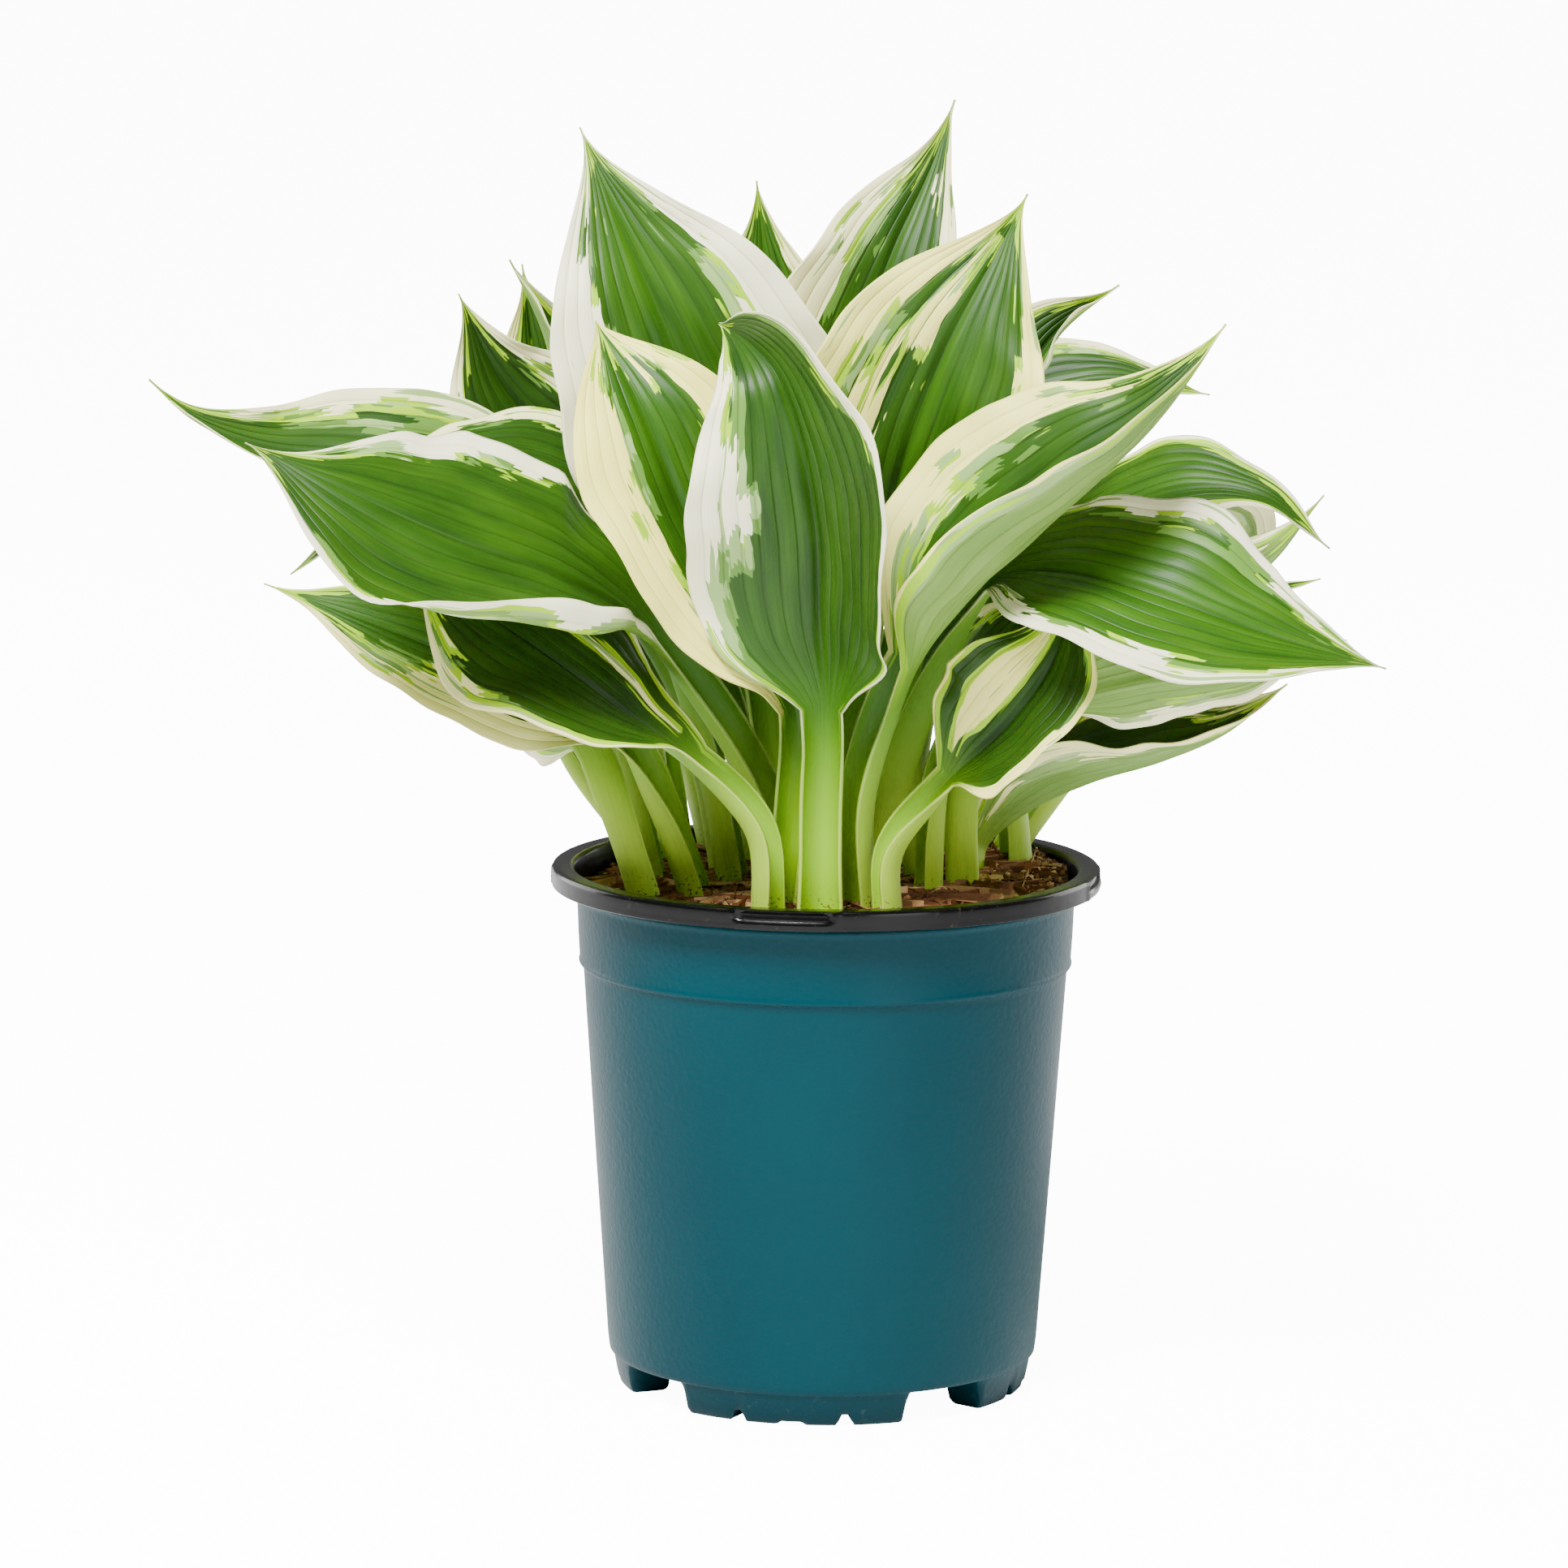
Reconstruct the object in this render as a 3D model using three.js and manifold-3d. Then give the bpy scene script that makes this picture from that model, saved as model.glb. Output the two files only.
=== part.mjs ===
// A hosta in its nursery pot: a two-colour thermoformed pot, the potting soil that fills it,
// and a clump of long-stalked, cream-edged leaves that stand in the soil.
// Millimetres, +Z up.  The pot stands on z = 0, and the front of the plant faces -Y.

import * as THREE from "three";
import { mergeVertices } from "three/addons/utils/BufferGeometryUtils.js";
import Module from "manifold-3d";

const wasm = await Module();
wasm.setup();

// ---------------------------------------------------------------- driving dimensions

// the pot's axis, seen from the middle of the whole plant's outline on the ground
const POT_AXIS = [20.7, -26.9];

// pot: outside radii and heights, from the ground up
const FOOT_BOTTOM_RADIUS = 60.7;
const FOOT_TOP_RADIUS = 62.4;
const FOOT_HEIGHT = 9.6;
const FOOT_DEPTH = 11;
const WALL_FOOT_RADIUS = 63.5;
const BASE_BEND_RADIUS = 64;
const BASE_BEND_HEIGHT = 14;
const LEDGE_HEIGHT = 126.3;
const LEDGE_RADIUS_BELOW = 71.7;
const LEDGE_RADIUS_ABOVE = 72.7;
const WALL_TOP_RADIUS = 73.6;
const RIM_RADIUS = 81;
const RIM_HEIGHT = 155.5;
const RIM_SKIRT = 5.9;
const RIM_THICKNESS = 1.4;
const RIM_INNER_RADIUS = 74.4;
const WALL = 1.5;
const FLOOR_HEIGHT = 7;
const POT_SIDES = 40;

// what repeats four times round the pot, turned a little off the front
const QUARTER_TURN = Math.PI / 2;
const FRONT_FOOT_ANGLE = THREE.MathUtils.degToRad(-98.9);
const FOOT_GAP_WIDTH = 27;
const FOOT_GAP_FLARE = 4;
const FOOT_NOTCH_ANGLE = THREE.MathUtils.degToRad(15.5);
const FOOT_NOTCH_WIDTH = 5;
const FOOT_NOTCH_HEIGHT = 3;
const FOOT_RECESS_WIDTH = 7;
const FOOT_RECESS_HEIGHT = 1;
const RIM_NOTCH_WIDTH = 26;
const RIM_NOTCH_HEIGHT = 3.6;
const RIM_NOTCH_DEPTH = 0.8;
const DRAIN_WIDTH = 12;
const DRAIN_DEPTH = 5;

// soil
const SOIL_CLEARANCE = 0.35;
const SOIL_HEIGHT = 149.8;
const SOIL_MOUND = 2.4;
const SOIL_TILT = 3;
const SOIL_SIDE_SUNK = 4;
const SOIL_LUMP = 0.9;
const SOIL_SIDES = POT_SIDES / 2;
const SOIL_RINGS = 4;

// stalks in the soil
const STALK_TOP = 148;
const STALK_SUNK = 20;
const FOOT_LEAN = 0.25;
const HOLE_CLEARANCE = 0.8;
const HOLE_REACH = 30;

// a leaf's section: a channel in the stalk that opens into the blade
const STALK_FOLD = 8;
const STALK_EDGE = 85;
const STALK_FLARE = 0.25;
const STALK_THICKNESS = 4.1;
const MARGIN_THICKNESS = 0.9;
const BLADE_THICKNESS = 0.7;
const MIDRIB_THICKNESS = 1.6;
const STALK_RIB_THICKNESS = 3.2;
const PLAIN_TIP = 0.93;
const TIP_HALF_WIDTH = 0.6;
const RISE_POWER = 0.72;
const FALL_POWER = 1.8;
const WAVES = 2.5;
const WAVE_SHIFT = 1.7;

// where, along the leaf, the channel turns to the blade's face, opens out and thins;
// 0 is the stalk's foot, 1 the blade's base and 2 the tip
const TURNS = [0.45, 1.1];
const OPENS = [0.8, 1.22];
const THINS = [0.75, 1.25];

// a curl takes in the margin from this share of the half width, and fades along the blade
const CURL_FROM = 0.7;
const CURL_ENDS = [0.35, 0.75];
const STRAIGHT = 1e-3;

// where the sections stand: along the stalk, along the blade, and across
const ALONG_STALK = [0, 0.18, 0.55, 0.95];
const ALONG_BLADE = [0.08, 0.18, 0.3, 0.42, 0.55, 0.68, 0.8, 0.91, 1];
const ACROSS = [-1, -0.7, -0.35, 0, 0.35, 0.7, 1];

// ---------------------------------------------------------------- the leaves
// Places are from the pot's axis at ground level.  "root" is where the stalk leaves the soil,
// "stalk" the points on its way up, and "rib" the midrib from the blade's base to its tip.
// "face" and "stalk_face" say where the upper side looks, "width" is the blade laid flat,
// "stem" the stalk's half width and "broad" how far along the blade is widest.
// "left" and "right" are how many degrees each half is raised: beside the midrib and at
// the edge, first at the base and then at the tip.  "wave" is the height of the edge's wave.
// Where given, "curl" rolls the left and the right margin further up, in degrees, and "fall"
// makes the blade run out to its tip more slowly than the others do.
const LEAVES = [
  {name: "front_centre", root: [-2, -56], stalk: [[-2, -58, 181]],
   rib: [[-1, -62, 212], [-3, -72, 237], [-4, -82, 263], [-8, -88, 287],
           [-15, -86, 308], [-23, -76, 317], [-32, -62, 321]],
   face: [-0.05, -1, 0.25], stalk_face: [0, -1, 0.1], width: 76, stem: 8, broad: 0.4,
   left: [8, 16, 10, 10], right: [45, 75, 50, 60], wave: 1.6, fall: 1.3},
  {name: "front_mid_left", root: [-13, -40], stalk: [[-10, -47, 179]],
   rib: [[-10, -54, 211], [-24, -64, 235], [-40, -71, 265], [-53, -71, 296], [-67, -57, 321]],
   face: [-0.2, -1, 0.3], stalk_face: [-0.2, -1, 0.1], width: 58, stem: 6, broad: 0.62,
   left: [55, 60, 35, 30], right: [-18, -24, -8, 0], wave: 2, fall: 1.4},
  {name: "front_right", root: [11, -43], stalk: [[10, -52, 184]],
   rib: [[23, -66, 225], [42, -76, 252], [67, -84, 277], [92, -88, 301], [110, -84, 324]],
   face: [-0.25, -0.75, 0.8], stalk_face: [-0.7, -0.6, 0.4], width: 80, stem: 7.5, broad: 0.36,
   left: [30, 15, 15, 5], right: [20, 140, 15, 90], wave: 1.5},
  {name: "front_left", root: [-13, -22], stalk: [[-19, -30, 180]],
   rib: [[-51, -45, 230], [-77, -64, 249], [-106, -77, 261], [-138, -82, 276], [-165, -78, 288]],
   face: [0.1, -0.85, 0.7], stalk_face: [0.5, -0.6, 0.6], width: 88, stem: 7, broad: 0.54,
   left: [5, 90, -5, 10], right: [10, 0, -20, -45], wave: 1.4, curl: [110, 0]},
  {name: "low_left", root: [-18, -56], stalk: [[-20, -58, 175]],
   rib: [[-38, -58, 195], [-58, -62, 210], [-79, -64, 226], [-100, -61, 239], [-121, -52, 248]],
   face: [0.05, -0.45, 0.9], stalk_face: [0.6, -0.4, 0.7], width: 62, stem: 6, broad: 0.6,
   left: [35, 25, -30, -50], right: [10, 10, 5, 0], wave: 1.6},
  {name: "cup_right", root: [18, -57], stalk: [[18, -58, 169]],
   rib: [[35, -60, 191], [51, -68, 208], [62, -70, 224], [67, -66, 237], [66, -58, 249]],
   face: [-0.25, -1, 0.45], stalk_face: [-0.8, -0.3, 0.5], width: 50, stem: 5, broad: 0.36,
   left: [10, 15, 10, 10], right: [45, 55, 10, 20], wave: 1.6},
  {name: "low_right_front", root: [14, -22], stalk: [[23, -34, 194]],
   rib: [[46, -54, 247], [66, -72, 253], [93, -88, 248], [122, -92, 238], [157, -84, 227]],
   face: [0.05, -0.75, 0.75], stalk_face: [-0.6, 0.2, 0.8], width: 64, stem: 7, broad: 0.46,
   left: [15, 5, 10, 5], right: [10, 10, 10, 10], wave: 1.4},
  {name: "under_left", root: [-54, -20], stalk: [[-64, -16, 177]],
   rib: [[-73, -10, 193], [-88, -4, 201], [-105, 2, 205], [-122, 6, 206]],
   face: [0.2, 0.8, 0.6], stalk_face: [1, 0.1, 0.4], width: 48, stem: 7.5, broad: 0.36,
   left: [15, 20, 10, 10], right: [10, 10, 10, 10], wave: 1},
  {name: "far_low_left", root: [-39, -20], stalk: [[-49, -22, 177]],
   rib: [[-60, -24, 197], [-85, -26, 212], [-108, -28, 221], [-137, -28, 232], [-164, -24, 241]],
   face: [0.1, -0.8, 0.7], stalk_face: [0.8, -0.2, 0.5], width: 50, stem: 6.5, broad: 0.36,
   left: [8, 10, 5, 5], right: [8, 10, 5, 5], wave: 1.4},
  {name: "left_mid", root: [-28, -4], stalk: [[-37, -12, 197]],
   rib: [[-55, -21, 246], [-72, -27, 267], [-94, -34, 277], [-117, -40, 276], [-140, -44, 267]],
   face: [0.1, -0.55, 0.85], stalk_face: [0.8, -0.2, 0.5], width: 52, stem: 6, broad: 0.36,
   left: [15, 0, 5, -20], right: [15, 20, 5, -15], wave: 1.2},
  {name: "far_left", root: [-30, 10], stalk: [[-43, 6, 206]],
   rib: [[-72, 4, 247], [-100, 0, 266], [-129, -6, 274], [-164, -12, 279],
           [-185, -14, 288], [-198, -12, 299]],
   face: [0.1, -0.6, 0.8], stalk_face: [0.8, 0, 0.6], width: 54, stem: 6, broad: 0.36,
   left: [20, 30, 30, 50], right: [10, 10, 20, 40], wave: 1.4},
  {name: "left_small", root: [-52, 6], stalk: [[-63, 10, 193]],
   rib: [[-74, 8, 220], [-96, 4, 242], [-119, 0, 254], [-141, -2, 252], [-158, -2, 241]],
   face: [0.1, -0.3, 1], stalk_face: [0.8, 0, 0.6], width: 34, stem: 6, broad: 0.36,
   left: [12, 10, 5, 5], right: [12, 10, 5, 5], wave: 1.2, fall: 1.2},
  {name: "upper_left", root: [-20, 24], stalk: [[-32, 28, 203]],
   rib: [[-59, 34, 251], [-80, 36, 273], [-97, 34, 293], [-110, 28, 321]],
   face: [-0.1, -1, 0.3], stalk_face: [0.5, -0.6, 0.5], width: 58, stem: 6, broad: 0.36,
   left: [20, 20, 20, 10], right: [15, 15, 10, 10], wave: 1.4},
  {name: "back_left_tip", root: [-46, 42], stalk: [[-54, 62, 198]],
   rib: [[-69, 74, 246], [-82, 80, 273], [-89, 80, 297], [-93, 76, 326]],
   face: [0.2, -0.8, 0.3], stalk_face: [0.6, -0.2, 0.5], width: 42, stem: 6, broad: 0.36,
   left: [30, 20, 20, 20], right: [30, 20, 20, 20], wave: 1.2},
  {name: "left_rolled", root: [-14, 42], stalk: [[-29, 48, 200]],
   rib: [[-54, 58, 251], [-75, 62, 277], [-85, 60, 307], [-96, 56, 329]],
   face: [0.8, -0.5, 0.3], stalk_face: [0.6, -0.2, 0.5], width: 36, stem: 6, broad: 0.36,
   left: [40, 40, 50, 60], right: [40, 40, 50, 60], wave: 1.2},
  {name: "top_left", root: [-8, -6], stalk: [[-17, -8, 197]],
   rib: [[-25, -18, 250], [-35, -26, 284], [-47, -30, 315], [-61, -24, 346], [-73, -12, 373]],
   face: [0.05, -1, 0.2], stalk_face: [0, -0.9, 0.3], width: 88, stem: 7, broad: 0.36,
   left: [20, 30, 15, 15], right: [10, 20, 15, 20], wave: 1.6},
  {name: "back_top", root: [-2, 28], stalk: [[-13, 26, 204]],
   rib: [[-13, 24, 265], [-15, 24, 294], [-19, 26, 325], [-22, 30, 355]],
   face: [0.05, -1, 0.2], stalk_face: [0, -0.9, 0.3], width: 50, stem: 6, broad: 0.36,
   left: [20, 20, 20, 25], right: [20, 20, 20, 25], wave: 1.2},
  {name: "top_right", root: [8, 10], stalk: [[-2, 8, 206]],
   rib: [[2, 0, 268], [7, -4, 304], [17, -2, 335], [29, 8, 361], [36, 18, 380]],
   face: [0.1, -1, 0.25], stalk_face: [0, -0.9, 0.3], width: 60, stem: 7, broad: 0.3,
   left: [15, 20, 15, 30], right: [15, 30, 20, 40], wave: 1.6},
  {name: "right_centre", root: [16, -4], stalk: [[7, -14, 198]],
   rib: [[15, -32, 253], [22, -44, 285], [33, -46, 314], [46, -40, 338], [56, -30, 356]],
   face: [0.1, -1, 0.25], stalk_face: [-0.2, -0.9, 0.3], width: 76, stem: 7, broad: 0.36,
   left: [15, 25, 15, 15], right: [15, 30, 15, 25], wave: 1.8},
  {name: "right_rolled", root: [26, 12], stalk: [[19, 10, 206]],
   rib: [[38, 8, 262], [53, 8, 291], [66, 12, 312], [85, 18, 326]],
   face: [-0.5, -0.9, 0.5], stalk_face: [-0.4, -0.5, 0.5], width: 44, stem: 6, broad: 0.36,
   left: [40, 40, 50, 70], right: [40, 40, 50, 70], wave: 1.2},
  {name: "back_right", root: [24, 34], stalk: [[30, 39, 202]],
   rib: [[45, 42, 261], [60, 46, 287], [85, 46, 295], [114, 46, 291]],
   face: [-0.05, -0.7, 0.8], stalk_face: [-0.4, -0.3, 0.6], width: 40, stem: 6, broad: 0.36,
   left: [15, 10, 10, 5], right: [15, 10, 10, 5], wave: 1.2},
  {name: "right_arch", root: [28, -6], stalk: [[26, -10, 209]],
   rib: [[59, -22, 249], [81, -36, 265], [104, -46, 274], [124, -52, 272], [143, -52, 257]],
   face: [0, -0.6, 0.85], stalk_face: [-0.6, 0, 0.7], width: 42, stem: 6, broad: 0.36,
   left: [15, 0, 10, 5], right: [15, 20, 10, 10], wave: 1.4},
  {name: "right_back", root: [38, 23], stalk: [[39, 31, 196]],
   rib: [[66, 36, 222], [97, 38, 229], [129, 38, 240], [148, 38, 262]],
   face: [-0.5, 0.5, 0.6], stalk_face: [-0.6, 0, 0.7], width: 46, stem: 6, broad: 0.36,
   left: [20, 20, 20, 40], right: [20, 20, 20, 40], wave: 1.2},
  {name: "right_small", root: [58, 15], stalk: [[57, 23, 192]],
   rib: [[73, 21, 212], [94, 14, 225], [120, 8, 233], [145, 6, 241]],
   face: [-0.2, -0.1, 1], stalk_face: [-0.6, 0, 0.7], width: 36, stem: 6, broad: 0.36,
   left: [12, 10, 5, 5], right: [12, 10, 5, 5], wave: 1.2, fall: 1.4},
  {name: "right_under", root: [41, -16], stalk: [[42, -28, 186]],
   rib: [[61, -46, 209], [88, -52, 219], [118, -56, 223], [148, -54, 231]],
   face: [-0.1, 0.9, 0.5], stalk_face: [-0.5, 0, 0.8], width: 40, stem: 6, broad: 0.36,
   left: [10, 10, 10, 10], right: [10, 10, 10, 10], wave: 1.4},
  {name: "low_right", root: [43, 2], stalk: [],
   rib: [[45, 2, 162], [58, -2, 174], [77, -8, 184], [98, -14, 191], [116, -18, 199], [134, -18, 213]],
   face: [-0.2, -0.5, 0.9], stalk_face: [-0.8, -0.2, 0.5], width: 66, stem: 6, broad: 0.46,
   left: [30, 15, 15, 10], right: [50, 95, 30, 30], wave: 1.4},
  {name: "mid_right_small", root: [30, -25], stalk: [[32, -36, 187]],
   rib: [[41, -38, 209], [50, -31, 222], [58, -26, 232], [66, -22, 247]],
   face: [-0.3, -1, 0.4], stalk_face: [-0.6, -0.4, 0.5], width: 30, stem: 4.5, broad: 0.36,
   left: [20, 30, 20, 20], right: [10, 10, 10, 10], wave: 1.2},
  {name: "rear_left", root: [-34, 51], stalk: [[-46, 72, 190]],
   rib: [[-59, 92, 228], [-78, 114, 250], [-97, 134, 248], [-112, 149, 224]],
   face: [-0.3, 0.5, 1], stalk_face: [0.6, -0.4, 0.6], width: 76, stem: 6, broad: 0.36,
   left: [18, 22, 5, 10], right: [10, 6, 5, 0], wave: 1.6},
  {name: "rear_centre", root: [4, 58], stalk: [[7, 76, 202]],
   rib: [[11, 92, 246], [15, 116, 272], [18, 143, 268], [18, 164, 240]],
   face: [0.1, 0.6, 1], stalk_face: [0, -0.6, 0.6], width: 82, stem: 7, broad: 0.36,
   left: [18, 14, 5, 0], right: [18, 22, 5, 10], wave: 1.6},
  {name: "rear_right", root: [38, 46], stalk: [[60, 64, 190]],
   rib: [[78, 82, 226], [99, 102, 242], [119, 122, 236], [134, 138, 210]],
   face: [0.3, 0.5, 1], stalk_face: [-0.6, -0.4, 0.6], width: 76, stem: 6, broad: 0.36,
   left: [18, 14, 5, 0], right: [18, 22, 5, 10], wave: 1.6},
  {name: "rear_low_left", root: [-52, 28], stalk: [[-74, 46, 176]],
   rib: [[-90, 62, 202], [-106, 80, 212], [-120, 97, 208], [-130, 110, 193]],
   face: [-0.4, 0.4, 1], stalk_face: [0.6, -0.4, 0.6], width: 64, stem: 6, broad: 0.36,
   left: [14, 16, 5, 5], right: [14, 12, 5, 0], wave: 1.5},
  {name: "rear_low_centre", root: [-13, 59], stalk: [[-17, 84, 174]],
   rib: [[-24, 104, 192], [-30, 127, 193], [-36, 152, 177], [-40, 169, 148]],
   face: [-0.1, 0.6, 1], stalk_face: [0, -0.6, 0.6], width: 70, stem: 6, broad: 0.36,
   left: [14, 16, 5, 5], right: [14, 12, 5, 0], wave: 1.5},
  {name: "rear_low_right", root: [53, 31], stalk: [[73, 48, 176]],
   rib: [[90, 66, 198], [108, 86, 205], [121, 105, 199], [129, 119, 184]],
   face: [0.4, 0.4, 1], stalk_face: [-0.6, -0.4, 0.6], width: 64, stem: 6, broad: 0.36,
   left: [14, 12, 5, 0], right: [14, 16, 5, 5], wave: 1.5},
  {name: "rear_upper", root: [11, 45], stalk: [[12, 54, 230]],
   rib: [[16, 66, 278], [20, 83, 308], [26, 104, 322], [32, 126, 318]],
   face: [0, 0.3, 1], stalk_face: [0, -0.6, 0.6], width: 76, stem: 7, broad: 0.36,
   left: [18, 12, 5, 0], right: [18, 16, 5, 5], wave: 1.6},
];

// ---------------------------------------------------------------- solids

function toManifold(geometry) {
  const bare = new THREE.BufferGeometry();
  bare.setAttribute("position", geometry.getAttribute("position").clone());
  if (geometry.index) bare.setIndex(geometry.index.clone());
  const merged = mergeVertices(bare, 1e-4);
  const corners = Array.from(merged.index.array);
  const whole = [];
  for (let i = 0; i < corners.length; i += 3) {
    const [a, b, c] = corners.slice(i, i + 3);
    if (a !== b && b !== c && c !== a) whole.push(a, b, c);
  }
  const solid = new wasm.Manifold(new wasm.Mesh({
    numProp: 3,
    vertProperties: new Float32Array(merged.getAttribute("position").array),
    triVerts: new Uint32Array(whole),
  }));
  if (solid.volume() > 0) return solid;
  for (let i = 0; i < whole.length; i += 3) [whole[i], whole[i + 1]] = [whole[i + 1], whole[i]];
  return new wasm.Manifold(new wasm.Mesh({
    numProp: 3,
    vertProperties: new Float32Array(merged.getAttribute("position").array),
    triVerts: new Uint32Array(whole),
  }));
}

function toGeometry(solid) {
  const mesh = solid.getMesh();
  const geometry = new THREE.BufferGeometry();
  geometry.setAttribute("position", new THREE.BufferAttribute(mesh.vertProperties, 3));
  geometry.setIndex(new THREE.BufferAttribute(mesh.triVerts, 1));
  geometry.computeVertexNormals();
  return geometry;
}

// a profile of [radius, height] pairs, turned round the upright axis
function turned(profile, sides) {
  const geometry = new THREE.LatheGeometry(profile.map(([r, z]) => new THREE.Vector2(r, z)), sides);
  geometry.rotateX(Math.PI / 2);
  return geometry;
}

// an outline drawn in the (sideways, up) plane, pushed outwards from one radius to another
function outward(points, fromRadius, toRadius, angle) {
  const shape = new THREE.Shape(points.map(([x, z]) => new THREE.Vector2(x, z)));
  const geometry = new THREE.ExtrudeGeometry(shape, { depth: toRadius - fromRadius, bevelEnabled: false });
  geometry.rotateX(Math.PI / 2);
  geometry.translate(0, -fromRadius, 0);
  geometry.rotateZ(angle + Math.PI / 2);
  return toManifold(geometry);
}

// ---------------------------------------------------------------- pot

function wallRadius(z) {
  if (z < BASE_BEND_HEIGHT) return BASE_BEND_RADIUS;
  if (z < LEDGE_HEIGHT) {
    const rise = (z - BASE_BEND_HEIGHT) / (LEDGE_HEIGHT - BASE_BEND_HEIGHT);
    return THREE.MathUtils.lerp(BASE_BEND_RADIUS, LEDGE_RADIUS_BELOW, rise);
  }
  const rise = (z - LEDGE_HEIGHT) / (RIM_HEIGHT - LEDGE_HEIGHT);
  return THREE.MathUtils.lerp(LEDGE_RADIUS_ABOVE, WALL_TOP_RADIUS + 0.6, rise);
}

// the inside of the pot, drawn in by an allowance, from the floor's middle up to a height
function cavityProfile(allowance, top) {
  const floor = FLOOR_HEIGHT + WALL + allowance;
  const inset = WALL + allowance;
  return [
    [0, floor],
    [BASE_BEND_RADIUS - inset - 4, floor],
    [BASE_BEND_RADIUS - inset - 1, floor + 1],
    [BASE_BEND_RADIUS - inset, BASE_BEND_HEIGHT],
    [LEDGE_RADIUS_BELOW - inset, LEDGE_HEIGHT - 1],
    [LEDGE_RADIUS_ABOVE - inset, LEDGE_HEIGHT + allowance + 0.6],
    [wallRadius(top) - inset, top],
  ];
}

function potBody() {
  const underRim = RIM_HEIGHT - RIM_THICKNESS;
  const skirtBottom = RIM_HEIGHT - RIM_SKIRT;
  const outside = [
    [0, FLOOR_HEIGHT],
    [WALL_FOOT_RADIUS - 3.5, FLOOR_HEIGHT],
    [WALL_FOOT_RADIUS - 0.9, FLOOR_HEIGHT + 1],
    [WALL_FOOT_RADIUS, FOOT_HEIGHT],
    [BASE_BEND_RADIUS, BASE_BEND_HEIGHT],
    [LEDGE_RADIUS_BELOW, LEDGE_HEIGHT - 0.3],
    [LEDGE_RADIUS_ABOVE, LEDGE_HEIGHT + 0.6],
    [WALL_TOP_RADIUS, skirtBottom - 2],
    [WALL_TOP_RADIUS + 0.9, skirtBottom - 0.6],
    [WALL_TOP_RADIUS + 1, underRim],
    [RIM_RADIUS - RIM_THICKNESS, underRim],
    [RIM_RADIUS - RIM_THICKNESS, skirtBottom],
    [RIM_RADIUS, skirtBottom],
    [RIM_RADIUS, RIM_HEIGHT - 0.8],
    [RIM_RADIUS - 0.8, RIM_HEIGHT],
    [RIM_INNER_RADIUS + 0.8, RIM_HEIGHT],
    [RIM_INNER_RADIUS, RIM_HEIGHT - 0.8],
  ];
  const inside = cavityProfile(0, RIM_HEIGHT - 4).reverse();
  return toManifold(turned([...outside, ...inside], POT_SIDES));
}

function footRing() {
  const inner = FOOT_BOTTOM_RADIUS - FOOT_DEPTH;
  const overlap = FLOOR_HEIGHT + 0.5;
  return toManifold(turned([
    [inner, 0],
    [FOOT_BOTTOM_RADIUS - 0.8, 0],
    [FOOT_BOTTOM_RADIUS, 0.8],
    [FOOT_TOP_RADIUS, FLOOR_HEIGHT + 2],
    [FOOT_TOP_RADIUS - 1.6, FLOOR_HEIGHT + 2],
    [FOOT_TOP_RADIUS - 2.6, overlap],
    [inner, overlap],
    [inner, 0],
  ], POT_SIDES));
}

function pot() {
  let feet = footRing();
  let body = potBody();
  const far = RIM_RADIUS + 5;
  const skirtBottom = RIM_HEIGHT - RIM_SKIRT;
  for (let quarter = 0; quarter < 4; quarter += 1) {
    const foot = FRONT_FOOT_ANGLE + quarter * QUARTER_TURN;
    const gap = foot + QUARTER_TURN / 2;
    const half = FOOT_GAP_WIDTH / 2;
    const gapOutline = [
      [-half - FOOT_GAP_FLARE, -1], [half + FOOT_GAP_FLARE, -1],
      [half + 1.5, 2], [half, FOOT_HEIGHT + 1], [-half, FOOT_HEIGHT + 1], [-half - 1.5, 2],
    ];
    feet = feet.subtract(outward(gapOutline, 40, far, gap));
    for (const side of [-1, 1]) {
      const notch = [
        [-FOOT_NOTCH_WIDTH / 2, -1], [FOOT_NOTCH_WIDTH / 2, -1],
        [FOOT_NOTCH_WIDTH / 2, 0.3], [0.6, FOOT_NOTCH_HEIGHT], [-0.6, FOOT_NOTCH_HEIGHT],
        [-FOOT_NOTCH_WIDTH / 2, 0.3],
      ];
      feet = feet.subtract(outward(notch, 40, far, foot + side * FOOT_NOTCH_ANGLE));
    }
    const recess = [
      [-FOOT_RECESS_WIDTH / 2 - 1, -1], [FOOT_RECESS_WIDTH / 2 + 1, -1],
      [FOOT_RECESS_WIDTH / 2, FOOT_RECESS_HEIGHT], [-FOOT_RECESS_WIDTH / 2, FOOT_RECESS_HEIGHT],
    ];
    feet = feet.subtract(outward(recess, 40, far, foot));
    const lift = [
      [-RIM_NOTCH_WIDTH / 2 - 1.5, skirtBottom - 1], [RIM_NOTCH_WIDTH / 2 + 1.5, skirtBottom - 1],
      [RIM_NOTCH_WIDTH / 2, skirtBottom + RIM_NOTCH_HEIGHT],
      [-RIM_NOTCH_WIDTH / 2, skirtBottom + RIM_NOTCH_HEIGHT],
    ];
    body = body.subtract(outward(lift, RIM_RADIUS - RIM_NOTCH_DEPTH, far, foot));
    const drain = new THREE.BoxGeometry(DRAIN_DEPTH, DRAIN_WIDTH, 6);
    drain.translate(WALL_FOOT_RADIUS - 3.5 - DRAIN_DEPTH, 0, FLOOR_HEIGHT);
    drain.rotateZ(gap);
    body = body.subtract(toManifold(drain));
  }
  return body.add(feet);
}

// ---------------------------------------------------------------- leaves

function smooth(x, from, to) {
  return THREE.MathUtils.smoothstep(x, from, to);
}

function direction(values) {
  return new THREE.Vector3(...values).normalize();
}

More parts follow.
